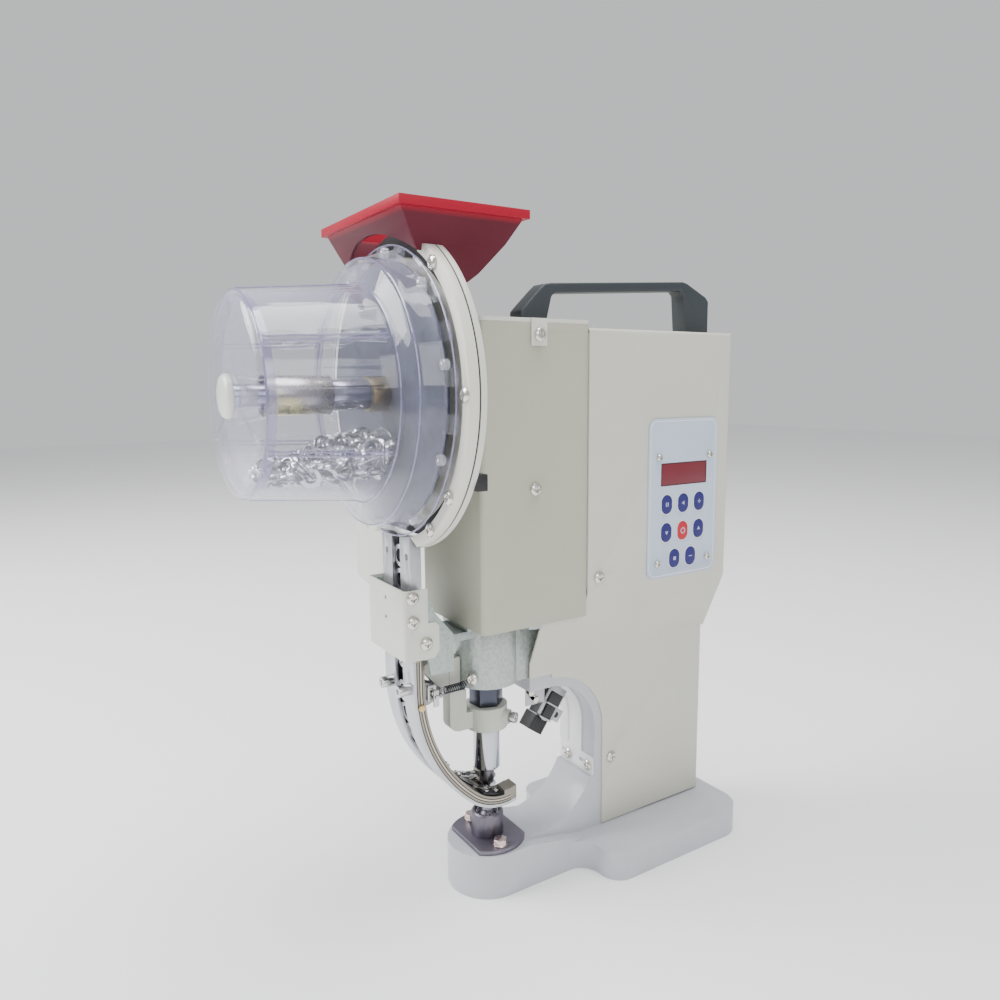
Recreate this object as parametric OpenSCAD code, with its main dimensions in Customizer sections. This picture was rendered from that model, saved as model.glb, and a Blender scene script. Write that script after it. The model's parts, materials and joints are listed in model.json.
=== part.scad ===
// Bench eyelet machine with a rotating clear hopper, a curved feed chute and a cam-driven press ram.
// Millimetres, X to the operator's right, Y to the rear, Z up.
// The origin is on the punch axis at the underside of the base.

/* [Base] */
// Width of the base plate
base_w = 143; // [137:1:149]
// Rear edge of the base plate behind the punch axis
base_rear = 238; // [233:1:243]
// Thickness of the base plate
base_t = 24.5; // [22:0.5:25.5]
// Radius of the post that carries the die
post_r = 33.8; // [33:0.2:36]
// Radius of the throat under the head
throat_r = 47; // [45:0.5:48]

/* [Covers] */
// Width of the rear cover
rear_w = 100.6; // [99:0.2:103]
// Rear face of the rear cover behind the punch axis
rear_y = 225; // [222:0.5:228]
// Height of the top of the rear cover
rear_top = 455.5; // [452:0.5:457]
// Thickness of the cover sheet
sheet_t = 1.5; // [1.2:0.1:1.7]
// Front face of the head cover ahead of the punch axis
head_front = 31; // [30:0.5:33]
// Width of the control panel
panel_w = 80; // [78:0.5:82]
// Height of the control panel
panel_h = 135; // [132:0.5:138]

/* [Hopper] */
// Radius of the closed front end of the clear drum
drum_r = 68.2; // [66:0.2:70]
// Front face of the clear drum ahead of the punch axis
drum_front = 193; // [188:0.5:196]
// Outer radius of the hopper ring
ring_r = 113.5; // [113:0.1:114.5]
// Height of the rim of the fill funnel above the top of the hopper ring
funnel_rise = 10.5; // [8.5:0.5:14.5]
// Half width of the fill funnel
funnel_hw = 68.5; // [67:0.5:70]

/* [Chute] */
// Half width of the feed chute
chute_hw = 25; // [24.5:0.1:25.2]
// Half width of the slot the punch passes
slot_hw = 6.8; // [6.6:0.1:7.2]
// Thickness of the guard sheet
guard_t = 1.5; // [1.3:0.1:1.6]

/* [Press] */
// Radius of the ram spindle
ram_r = 9; // [8.6:0.1:9.2]
// Radius of the punch
punch_r = 6.3; // [5.8:0.1:6.3]
// Radius of the lower die
die_r = 13.5; // [12.8:0.1:14]
// Width of the bridge handle
handle_w = 16; // [14:0.5:18]

/* [Hidden] */
$fn = 64;

cut = 1;                          // overshoot of cutting bodies
inner_fit = 0.3;                  // gap between nested covers
stroke = 20;                      // full stroke of the ram
swing = 12;                       // full swing of the chute in degrees
cam_turn = 170;                   // cam rotation for the full stroke

// base and column
base_hw = base_w / 2;
base_y0 = 80;
base_front_r = 18;
base_back_r = 25;
neck_flare = 18;
col_hw = 23.5;
throat_y = 49;
throat_z = 117;
throat_back = throat_y + throat_r;
floor_z = 36.5;
floor_r = 60;
cast_top = 176;
head_arm_y0 = 27.6;
col_back = 152;

// rear cover
rear_hw = rear_w / 2;
low_hw = col_hw + sheet_t;
low_z0 = 26;
low_z1 = 188;
up_z0 = 247;
skirt_y = 27;
arch_r = 55;
cover_z = cast_top;
corner_r = 5;
upper_y = 66;
up_hole = [upper_y + 10.8, up_z0 + 12];
low_hole = [throat_back + 17.6, 86];

// head cover
head_hw = rear_hw - sheet_t - inner_fit;
head_z0 = 228.4;
head_z1 = 458;
head_back = 74;
lid_t = 3;
side_hole = [16, 335];
lid_hole = [19, head_z1 - 9];

// hopper axis and stations along it
hop_z = 407;
drum_wall = 2.5;
drum_back_r = drum_r + 6.8;
step_y = -107;
ring_in = ring_r - 8.5;
rim_r = ring_in - 2;
flange_r = rim_r - 11;
disc_r = rim_r - 10;
ring_y0 = -78.5;
ring_y1 = ring_y0 + 7.5;
rim_y = ring_y0 - 0.9;
disc_y0 = rim_y - 4.1;
disc_y1 = rim_y - 1.1;
gasket_y1 = ring_y1 + 1.2;
plate_y1 = gasket_y1 + 4.3;
ring_top = hop_z + ring_r;
ring_low = hop_z - ring_r;
funnel_top = ring_top + funnel_rise;
tube_r = 28;
tube_in = tube_r - 4;
wall_y0 = -28;
wall_y1 = wall_y0 + 8;
shaft_r = 11;
sleeve_r = shaft_r + 2.5;
shaft_tail_r = 5;
shaft_end = plate_y1 + 5.5;
motor_y0 = plate_y1 + 7.5;
hop_motor_r = 20;
windows = 21;

// chute side profile
chute_y = -77.5;
chute_t = 9;
strip_t = 2.5;
back_t = 2.5;
bend_r1 = 135;
bend_a = 50;
bend_r2 = 48;
bend_z1 = 188.8;
bend_y1 = chute_y + bend_r1;
bend_y2 = bend_y1 - (bend_r1 - bend_r2) * cos(bend_a);
bend_z2 = bend_z1 - (bend_r1 - bend_r2) * sin(bend_a);
tip_y = 13;
low_chute_z = 236;
up_chute_z = 237.2;
up_chute_hw = 23.5;
channel_hw = 10;
pivot_y = -72;
pivot_z = 243;
pin_r = 2.5;
lug_x0 = chute_hw;
cheek_x0 = 28;
guard_x = 32;
cheek_x1 = guard_x - guard_t;
guard_y = -87;

// press train
collar_r = 17.5;
collar_z0 = 135;
collar_z1 = 154;
house_r = 27;
house_z0 = 175;
house_z1 = 226;
cam_z = 300;
cam_r0 = 26;
roller_r = 8;
roller_gap = 0.35;
cam_hy = 4;
fork_y0 = 5.6;
fork_y1 = 9;
shaft_cam_r = 10;
roller_z = cam_z - cam_r0;
run_fit = 0.05;
gear_y0 = 76;
gear_y1 = gear_y0 + 36;
gear_h = 38;
motor_r = 33;
motor_y1 = rear_y - 20;

// chute follower and its path while the chute swings
foll_y = -50;
foll_z = 176;
foll_r = 4;
foll_gap = 0.4;
ry = foll_y - pivot_y;
rz = foll_z - pivot_z;
foll_end_y = pivot_y + ry * cos(swing) + rz * sin(swing);
foll_end_z = pivot_z + rz * cos(swing) - ry * sin(swing) + stroke;

// ---------- helpers ----------
module yz(x0, x1) { translate([x0, 0, 0]) rotate([90, 0, 90]) linear_extrude(height = x1 - x0) children(); }
module xz(y0, y1) { translate([0, y1, 0]) rotate([90, 0, 0]) linear_extrude(height = y1 - y0) children(); }
module xy(z0, z1) { translate([0, 0, z0]) linear_extrude(height = z1 - z0) children(); }
module rod_x(x0, x1, y, z, r) { translate([x0, y, z]) rotate([0, 90, 0]) cylinder(h = x1 - x0, r = r); }
module rod_y(y0, y1, x, z, r) { translate([x, y0, z]) rotate([-90, 0, 0]) cylinder(h = y1 - y0, r = r); }
module rod_z(z0, z1, x, y, r) { translate([x, y, z0]) cylinder(h = z1 - z0, r = r); }
module box(x0, x1, y0, y1, z0, z1) { translate([x0, y0, z0]) cube([x1 - x0, y1 - y0, z1 - z0]); }
module both() { children(); mirror([1, 0, 0]) children(); }
module rect(a0, a1, b0, b1) { translate([a0, b0]) square([a1 - a0, b1 - b0]); }
module round_rect(a0, a1, b0, b1, r) {
    rect(a0 + r, a1 - r, b0, b1);
    rect(a0, a1, b0 + r, b1 - r);
    for (a = [a0 + r, a1 - r]) for (b = [b0 + r, b1 - r]) translate([a, b]) circle(r = r);
}
// plan of a box open to the front, rounded at the rear corners
module rear_plan(hw, y0, y1, r) {
    rect(-hw, hw, y0, y1 - r);
    rect(-hw + r, hw - r, y0, y1);
    for (s = [-1, 1]) translate([s * (hw - r), y1 - r]) circle(r = r);
}
// wedge from angle a0 to a1 about the drawing origin
module wedge(a0, a1, r)
    polygon([[0, 0], for (i = [0:6]) let (a = a0 + (a1 - a0) * i / 6) [r * cos(a), r * sin(a)]]);
module sector(r0, r1, a0, a1) {
    intersection() {
        difference() { circle(r = r1, $fn = 128); circle(r = r0, $fn = 128); }
        wedge(a0, a1, r1 * 1.1);
    }
}
// cross-slotted pan head, face of the sheet at z = 0
module pan_head(len = 6, r = 4.8, shank = 2.4) {
    difference() {
        union() {
            cylinder(h = 1.6, r = r, $fn = 32);
            translate([0, 0, 1.6]) cylinder(h = 1.1, r1 = r, r2 = r * 0.66, $fn = 32);
        }
        for (a = [0, 90]) rotate([0, 0, a]) translate([-r * 0.55, -0.6, 1.5]) cube([r * 1.1, 1.2, 2]);
    }
    translate([0, 0, -len]) cylinder(h = len, r = shank, $fn = 32);
}
// socket head with its seat at z = 0
module socket_head(h = 5, r = 4.25, len = 6, shank = 2.4, hex = 2.3) {
    difference() {
        cylinder(h = h, r = r, $fn = 32);
        translate([0, 0, h - 3]) cylinder(h = 4, r = hex, $fn = 6);
    }
    translate([0, 0, -len]) cylinder(h = len, r = shank, $fn = 32);
}
module at_right(x, y, z) { translate([x, y, z]) rotate([0, 90, 0]) children(); }
module at_front(x, y, z) { translate([x, y, z]) rotate([90, 0, 0]) children(); }
// turned eyelet standing on its flange
module eyelet() {
    rotate_extrude($fn = 20) polygon([[5.2, 0], [8.6, 0], [8.6, 0.9], [6.2, 1.1], [6, 3.4], [5.2, 3.4]]);
}

// ---------- base ----------
module base_plan() {
    fr = base_front_r;
    br = base_back_r;
    rect(-base_hw, base_hw, base_y0 + fr, base_rear - br);
    rect(-base_hw + fr, base_hw - fr, base_y0, base_rear - br);
    rect(-base_hw + br, base_hw - br, base_y0 + fr, base_rear);
    for (s = [-1, 1]) {
        translate([s * (base_hw - fr), base_y0 + fr]) circle(r = fr);
        translate([s * (base_hw - br), base_rear - br]) circle(r = br);
    }
    neck_plan();
    both() difference() {
        rect(post_r - 1, post_r + neck_flare, base_y0 - neck_flare, base_y0 + 1);
        translate([post_r + neck_flare, base_y0 - neck_flare]) circle(r = neck_flare);
    }
}
module neck_plan() {
    rect(-post_r, post_r, 0, base_y0 + 2);
    circle(r = post_r, $fn = 128);
}
module frame_profile() {
    difference() {
        rect(throat_back - floor_r, throat_back + 1, 10, floor_z + floor_r);
        translate([throat_back - floor_r, floor_z + floor_r]) circle(r = floor_r, $fn = 128);
    }
    rect(10, throat_back - floor_r + 1, 10, floor_z);
    rect(throat_back, col_back, 10, cast_top);
    difference() {
        rect(head_arm_y0, throat_back + 1, throat_z, cast_top);
        translate([throat_y, throat_z]) circle(r = throat_r, $fn = 128);
        rect(0, throat_y, throat_z - cut, throat_z + throat_r);
    }
}
module base_casting() color([0.88, 0.88, 0.9]) {
    difference() {
        union() {
            xy(0, base_t) base_plan();
            intersection() {
                xy(0, floor_z) neck_plan();
                yz(-post_r - cut, post_r + cut)
                    polygon([[-post_r - cut, 0], [-post_r - cut, floor_z], [22, floor_z], [60, floor_z - 7.5],
                        [base_y0 + 2, base_t - 0.5], [base_y0 + 2, 0]]);
            }
            yz(-col_hw, col_hw) frame_profile();
        }
        for (s = [-1, 1]) rod_z(floor_z - 11, floor_z + cut, s * bolt_x, bolt_y, 3.1);
        both() rod_x(col_hw - 6, col_hw + cut, low_hole[0], low_hole[1], 2.5);
        for (x = lamp_screw_x) rod_y(throat_back - cut, throat_back + 6, x, lamp_screw_z, 2.5);
        box(-col_hw - cut, col_hw + cut, 60, throat_back, foot_z0 - 0.1, floor_z + floor_r + 0.1);
    }
}
bolt_x = 23.4;
bolt_y = -2;
lamp_screw_x = [-11.5, 16.5];
lamp_screw_z = 80;
foot_z0 = 72;
die_plate_z = 40.4;
module die_plate() color([0.33, 0.31, 0.36]) difference() {
    intersection() {
        rod_z(floor_z, die_plate_z, 0, 0, post_r - 2.2);
        box(-40, 40, -22, 25, 0, 60);
    }
    for (s = [-1, 1]) rod_z(0, 60, s * bolt_x, bolt_y, 3.1);
}
module die_bolts() color([0.6, 0.6, 0.62]) for (s = [-1, 1]) translate([s * bolt_x, bolt_y, die_plate_z]) {
    cylinder(h = 1.2, r = 6.2, $fn = 32);
    translate([0, 0, 1.1]) rotate([0, 0, 20]) cylinder(h = 4.2, r = 5.6, $fn = 6);
    translate([0, 0, -14]) cylinder(h = 14.5, r = 3, $fn = 32);
}
module lower_die() color([0.4, 0.38, 0.42]) rotate_extrude($fn = 96)
    polygon([[0, die_plate_z], [die_r, die_plate_z], [die_r, 58.8], [die_r - 1.2, 60.5], [die_r - 3, 60.5],
        [die_r - 3.6, 58], [7.4, 56.4], [5.8, 58], [4.2, 59.8], [0, 60]]);

// ---------- head ----------
anchor_a = -52.7;
anchor_z = 185;
arm_hw = 22;
web_hw = 20;
web_y0 = 26;
web_y1 = web_y0 + 10;
post_x = 40;
post_y0 = 11;
post_y1 = post_y0 + 13;
module press_head() color([0.69, 0.73, 0.7]) difference() {
    union() {
        rod_z(house_z0, house_z1, 0, 0, house_r);
        box(-arm_hw, arm_hw, 0, col_back - 2, cast_top, house_z1);
        box(-web_hw, web_hw, wall_y0, wall_y1 + 2, house_z1 - 2, cam_z + 30);
        box(-web_hw - 10, web_hw + 10, wall_y0, wall_y1 + 2, hop_z - 87, hop_z + 33);
        box(-web_hw, web_hw, web_y0, web_y1, house_z1 - 1, cam_z + 20);
        box(-post_x - 6, post_x + 6, post_y0 + 4.5, post_y1, house_z1 - 1, house_z1 + 8);
        both() box(post_x, head_hw - sheet_t, post_y0, post_y1, house_z1, side_hole[1] + 10);
        box(-arm_hw, arm_hw, gear_y0, col_back - 2, house_z1 - 1, cam_z - gear_h);
        rotate([0, 0, anchor_a]) rod_x(house_r - 4, house_r + 3, 0, anchor_z, 4.6);
    }
    rod_z(house_z0 - cut, house_z1 + 20, 0, 0, ram_r + run_fit);
    rod_y(wall_y0 - cut, web_y1 + 4, 0, cam_z, shaft_cam_r + run_fit);
    rod_y(wall_y0 - cut, wall_y1 + 3, 0, hop_z, hop_motor_r + 0.3);
    both() rod_x(head_hw - 9, head_hw + cut, side_hole[0], side_hole[1], 2.5);
    rotate([0, 0, anchor_a]) rod_x(house_r - 8, house_r + 3 + cut, 0, anchor_z, 2.5);
}
module guide_nut() color([0.16, 0.18, 0.22]) difference() {
    rotate([0, 0, 8]) rod_hex(collar_z1 + 0.5, house_z0, 13.9);
    rod_z(collar_z1 - 4, house_z0 + 5, 0, 0, ram_r + 0.3);
}
module rod_hex(z0, z1, r) { translate([0, 0, z0]) cylinder(h = z1 - z0, r = r, $fn = 6); }

// ---------- covers ----------
top_round = 3;
panel_y = rear_y - 57;
panel_z = rear_top - 139;
panel_t = 1.2;
key_pitch = 19;
key_row = 24;
key_top = panel_z - 4.5;
disp = [panel_y - 25.7, panel_y + 26.8, panel_z + 11.7, panel_z + 30];
key_at = concat(
    [for (row = [0, 1]) for (col = [-1, 0, 1]) [panel_y + col * key_pitch, key_top - row * key_row]],
    [for (off = [-9, 10]) [panel_y + off, key_top - 2 * key_row + 0.7]]);
panel_screw_at = [for (dz = [35.5, -54.5]) for (dy = [-29, 30]) [panel_y + dy, panel_z + dz]];
inlet_z = 299;
inlet_d = 14;
module cover_section(e) {
    k = (rear_hw - low_hw) / (up_z0 - low_z1);
    h = e * sqrt(1 + k * k);
    r = top_round - e;
    hi = rear_hw - e;
    lo = low_hw - e;
    top = rear_top - e;
    za = low_z1 + (h - e) / k;
    zb = low_z1 + (hi - low_hw + h) / k;
    z0 = low_z0 - (e > 0 ? cut : 0);
    polygon([[-lo, z0], [lo, z0], [lo, za], [hi, zb], [hi, top - r], [hi - r, top],
        [r - hi, top], [-hi, top - r], [-hi, zb], [-lo, za]]);
    for (s = [-1, 1]) translate([s * (hi - r), top - r]) circle(r = r);
}
module cover_block(e) intersection() {
    xz(skirt_y - (e > 0 ? cut : 0), rear_y - e) cover_section(e);
    union() {
        xy(low_z1, rear_top + cut) rear_plan(rear_hw - e, 0, rear_y - e, corner_r - e);
        xy(0, low_z1 + 0.01) rear_plan(low_hw - e, 0, rear_y - e, corner_r - e);
    }
}
module rear_cover() color([0.8, 0.8, 0.74]) difference() {
    cover_block(0);
    cover_block(sheet_t);
    yz(-60, 60) {
        rect(0, throat_y, 0, cover_z);
        rect(0, throat_y + arch_r, 0, throat_z);
        translate([throat_y, throat_z]) circle(r = arch_r, $fn = 128);
    }
    box(-60, 60, 0, upper_y, head_z0 - 0.4, rear_top + cut);
    box(rear_hw - 5, rear_hw + cut, disp[0] + 0.5, disp[1] - 0.6, panel_z - 60.5, disp[3] + 1);
    for (p = panel_screw_at) rod_x(rear_hw - 5, rear_hw + cut, p[0], p[1], 1.6);
    both() {
        rod_x(rear_hw - 5, rear_hw + cut, up_hole[0], up_hole[1], 2.5);
        rod_x(low_hw - 5, low_hw + cut, low_hole[0], low_hole[1], 2.5);
    }
    box(-14, 14, rear_y - 5, rear_y + cut, inlet_z - 10.3, inlet_z + 10.3);
}
module front_plan(hw, y0, y1, r) { mirror([0, 1]) rear_plan(hw, -y1, -y0, r); }
module head_cover() color([0.76, 0.76, 0.68]) difference() {
    xy(head_z0, head_z1) difference() {
        front_plan(head_hw, -head_front, head_back, corner_r);
        front_plan(head_hw - sheet_t, -head_front + sheet_t, head_back + cut, corner_r - sheet_t);
    }
    for (z = [[head_z0 - cut, up_z0 + 3], [rear_top - top_round - 0.5, head_z1 + cut]])
        box(-60, 60, upper_y - inner_fit, head_back + cut, z[0], z[1]);
    rod_y(-head_front - cut, -head_front + 5, 0, hop_z, tube_r + 0.5);
    both() {
        rod_x(head_hw - 5, head_hw + cut, side_hole[0], side_hole[1], 2.5);
        rod_x(head_hw - 5, head_hw + cut, lid_hole[0], lid_hole[1], 2.5);
    }
}
module top_plate() color([0.85, 0.85, 0.8]) difference() {
    union() {
        xy(head_z1, head_z1 + lid_t) front_plan(head_hw, -head_front, upper_y - inner_fit, corner_r);
        both() {
            box(head_hw, head_hw + 1.5, lid_hole[0] - 7, lid_hole[0] + 7, head_z1 - 17, head_z1 + lid_t);
            box(head_hw - 6, head_hw + 1, lid_hole[0] - 7, lid_hole[0] + 7, head_z1, head_z1 + lid_t);
        }
    }
    both() rod_x(head_hw - 1, head_hw + 5, lid_hole[0], lid_hole[1], 2.5);
}
handle_x = 20;
module carry_handle() color([0.13, 0.15, 0.17]) {
    a = head_z1 + lid_t;
    b = rear_y - 7.5;
    yz(handle_x - handle_w / 2, handle_x + handle_w / 2)
        polygon([[17.5, a], [17.5, a + 7], [22, a + 11.5], [35, a + 24], [39.7, a + 28], [46, a + 29],
            [b - 31.5, a + 38], [b - 26.5, a + 37], [b - 3.5, a + 26.5], [b, a + 23],
            [b, rear_top], [b - 28, rear_top],
            [b - 30.9, a + 27], [b - 34.5, a + 30.3], [50, a + 21.8], [46.5, a + 19], [41.6, a]]);
}

// ---------- control panel ----------
module key_plan(e) {
    for (s = [-1, 1]) translate([0, s * 2.2]) circle(r = 5.9 + e);
    rect(-5.9 - e, 5.9 + e, -2.2, 2.2);
}
module control_panel() color([0.7, 0.75, 0.8]) yz(rear_hw, rear_hw + panel_t) difference() {
    translate([panel_y, panel_z]) round_rect(-panel_w / 2, panel_w / 2, -panel_h / 2, panel_h / 2, 8);
    rect(disp[0], disp[1], disp[2], disp[3]);
    for (p = key_at) translate(p) key_plan(0.3);
    for (p = panel_screw_at) translate(p) circle(r = 1.6);
}
module display_window() color([0.5, 0.16, 0.2])
    box(rear_hw, rear_hw + panel_t, disp[0], disp[1], disp[2], disp[3]);
board_x = rear_hw - 8.3;
module control_board() color([0.1, 0.35, 0.2]) {
    inner = rear_hw - sheet_t;
    box(board_x, board_x + 1.6, panel_y - 38, panel_y + 38, panel_z - 64.5, panel_z + 65.5);
    for (dy = [-35, 35]) for (dz = [-62, 61.5]) rod_x(board_x + 1, inner, panel_y + dy, panel_z + dz, 2.5);
    for (p = key_at) rod_x(board_x + 1, rear_hw - 3.1, p[0], p[1], 3);
    box(board_x + 1, rear_hw, disp[0] + 1, disp[1] - 1, disp[2] + 1, disp[3] - 1);
}
module key_cap(i) color(i == 4 ? [0.8, 0.12, 0.18] : [0.15, 0.14, 0.5])
    yz(rear_hw - 2, rear_hw + panel_t + 0.6) translate(key_at[i]) key_plan(0);
module key_1() { key_cap(0); }
module key_2() { key_cap(1); }
module key_3() { key_cap(2); }
module key_4() { key_cap(3); }
module key_5() { key_cap(4); }
module key_6() { key_cap(5); }
module key_7() { key_cap(6); }
module key_8() { key_cap(7); }
module power_inlet() color([0.1, 0.1, 0.1]) difference() {
    union() {
        box(-25, 25, rear_y, rear_y + 3, inlet_z - 13, inlet_z + 13);
        box(-13.5, 13.5, rear_y - inlet_d, rear_y + 1, inlet_z - 9.8, inlet_z + 9.8);
    }
    difference() {
        box(-11.8, 11.8, rear_y - inlet_d + 2, rear_y + 4, inlet_z - 8, inlet_z + 8);
        for (p = [[-7, -2], [0, 2.5], [7, -2]])
            box(p[0] - 1, p[0] + 1, rear_y - inlet_d + 1, rear_y + 2, inlet_z + p[1] - 2, inlet_z + p[1] + 2);
    }
}

// ---------- fasteners of the fixed sheet parts ----------
ring_screw_a = [50, 0, -37.5, -57];
ring_screw_r = ring_r - 4.5;
tail_screw = [-72, ring_low + 9.5];
module ring_holes() for (a = ring_screw_a) both()
    rod_y(-90, -60, ring_screw_r * cos(a), hop_z + ring_screw_r * sin(a), 2.5);
guard_screw_at = [[-80.5, 261.5], [-80.5, 243.5], [-70, 226]];
module pan_screws() color([0.75, 0.75, 0.72]) {
    both() {
        at_right(rear_hw, up_hole[0], up_hole[1]) pan_head(7);
        at_right(low_hw, low_hole[0], low_hole[1]) pan_head(6);
        at_right(head_hw, side_hole[0], side_hole[1]) pan_head(8);
        at_right(head_hw + 1.5, lid_hole[0], lid_hole[1]) pan_head(6);
        for (p = guard_screw_at) at_right(guard_x, p[0], p[1]) pan_head(3.8);
        for (a = ring_screw_a)
            at_front(ring_screw_r * cos(a), ring_y0, hop_z + ring_screw_r * sin(a)) pan_head(12);
    }
    for (p = panel_screw_at) at_right(rear_hw + panel_t, p[0], p[1]) pan_head(5, 3, 1.5);
    at_front(tail_screw[0], gasket_y1, tail_screw[1]) pan_head(4, 4, 2);
    for (x = lamp_screw_x) at_front(x, throat_back - 1.5, lamp_screw_z) pan_head(7);
    rotate([0, 0, anchor_a]) at_right(house_r + 3, 0, anchor_z) pan_head(9);
}

// ---------- hopper, fixed side ----------
module ring_half() color([0.84, 0.84, 0.8]) difference() {
    xz(ring_y0, ring_y1) translate([0, hop_z]) difference() {
        sector(ring_in, ring_r, -80, 63);
        polygon([[10, -ring_in + 15], [mouth_hw, -ring_in + 4.5], [38, -ring_in - 2.5],
            [38, -ring_r - 16], [10, -ring_r - 16]]);
    }
    ring_holes();
}
module ring_right() { ring_half(); }
module ring_left() { mirror([1, 0, 0]) ring_half(); }
mouth_hw = 24.4;
mouth_z = ring_low + 13;
module ring_gasket() color([0.08, 0.08, 0.09]) difference() {
    rod_y(ring_y1, gasket_y1, 0, hop_z, ring_r - 0.6);
    rod_y(ring_y1 - cut, gasket_y1 + cut, 0, hop_z, ring_in - 9);
    box(-mouth_hw, mouth_hw, ring_y1 - cut, gasket_y1 + cut, ring_low - cut, mouth_z);
    ring_holes();
}
module hopper_back_plate() color([0.84, 0.84, 0.79]) difference() {
    union() {
        xz(gasket_y1, plate_y1) {
            translate([0, hop_z]) circle(r = ring_r, $fn = 128);
            translate([0, ring_low])
                polygon([[-95, 86.5], [-95, -40.5], [-62, -46.5], [-33, -46.5], [-33, -25],
                    [-20, -25], [-20, 86.5]]);
        }
        rod_y(plate_y1 - cut, wall_y0, 0, hop_z, tube_r);
    }
    rod_y(plate_y1 + 2, wall_y0 + cut, 0, hop_z, tube_in);
    rod_y(gasket_y1 - cut, plate_y1 + 5, 0, hop_z, shaft_r + run_fit);
    box(-mouth_hw, mouth_hw, gasket_y1 - cut, plate_y1 + cut, ring_low - 60, mouth_z);
    rod_y(gasket_y1 - cut, plate_y1 + cut, tail_screw[0], tail_screw[1], 2.1);
    ring_holes();
}
module hopper_sensor() color([0.06, 0.06, 0.07])
    box(ring_r - 29.5, ring_r - 13.5, plate_y1, plate_y1 + 8, hop_z - 62, hop_z - 51);
module hopper_motor() color([0.3, 0.3, 0.32]) difference() {
    union() {
        rod_y(motor_y0, wall_y1 + 32, 0, hop_z, hop_motor_r);
        rod_y(wall_y1 + 2, wall_y1 + 5, 0, hop_z, hop_motor_r + 7);
    }
    rod_y(motor_y0 - cut, motor_y0 + 16, 0, hop_z, shaft_tail_r + run_fit);
}
funnel_y0 = ring_y0 - 22.1;
funnel_y1 = -2;
funnel_lip = 3;
funnel_z0 = ring_top - 38.5;
rim_h = 6;
funnel_t = 2.4;
module funnel_side(e) {
    f = funnel_y0 + funnel_lip + e;
    b = funnel_y1 - funnel_lip - e;
    polygon([[f, funnel_top], [f, funnel_top - rim_h], [f + 13.6, funnel_z0 + 18],
        [f + 31.6, funnel_z0 - 2 * e], [-44 - e * 0.4, funnel_z0 - 2 * e], [b - 31, funnel_z0 + 6],
        [b - 12, funnel_z0 + 26], [b, funnel_top - rim_h], [b, funnel_top]]);
}
module funnel_front(e) {
    w = funnel_hw - funnel_lip - e;
    polygon([[-w, funnel_top], [-w + 11, funnel_z0 - 4 * e], [w - 11, funnel_z0 - 4 * e], [w, funnel_top]]);
}
module funnel_body(e) intersection() {
    yz(-funnel_hw - cut, funnel_hw + cut) funnel_side(e);
    xz(funnel_y0 - cut, funnel_y1 + cut) funnel_front(e);
}
module fill_funnel() color([0.55, 0.08, 0.14]) difference() {
    union() {
        funnel_body(0);
        box(-funnel_hw, funnel_hw, funnel_y0, funnel_y1, funnel_top - rim_h, funnel_top);
    }
    difference() {
        funnel_body(funnel_t);
        difference() {
            rod_y(plate_y1 - 3, 0, 0, hop_z, ring_r + 3);
            rod_y(plate_y1 - 4, 1, 0, hop_z, ring_r + 0.3);
        }
    }
    w = funnel_lip + funnel_t;
    box(w - funnel_hw, funnel_hw - w, funnel_y0 + w, funnel_y1 - w, funnel_top - rim_h - cut,
        funnel_top + cut);
    rod_y(ring_y0 - 2, plate_y1 + 0.3, 0, hop_z, ring_r);
    rod_y(funnel_y0 - cut, ring_y0 - 1, 0, hop_z, ring_in + 4.3);
}
// heap at the bottom of the drum: flat layers, each as wide as the drum is there
pile_r = drum_r - drum_wall - 0.78;
pile_d = 17.5;
pile_y0 = -drum_front + 19;
pile_h = 3.65;
pile_layers = [0, 1, 0, 1, 0];
module loose_eyelets() color([0.75, 0.75, 0.76]) {
    for (k = [0:len(pile_layers) - 1]) {
        z = -sqrt(pile_r * pile_r - 8.6 * 8.6) + k * pile_h;
        n = floor((sqrt(pile_r * pile_r - z * z) - 8.6) / pile_d - (pile_layers[k] == 1 ? 0.5 : 0));
        for (i = [-n - pile_layers[k]:n]) for (j = [0:3])
            translate([(i + pile_layers[k] / 2) * pile_d, pile_y0 + pile_d * j + 4 * sin(97 * k), hop_z + z])
                eyelet();
    }
    for (k = [0:2]) translate([0, chute_y + strip_t + 0.2, up_chute_z + 12.8 + 18.5 * k])
        rotate([-90, 0, 0]) eyelet();
}

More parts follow.
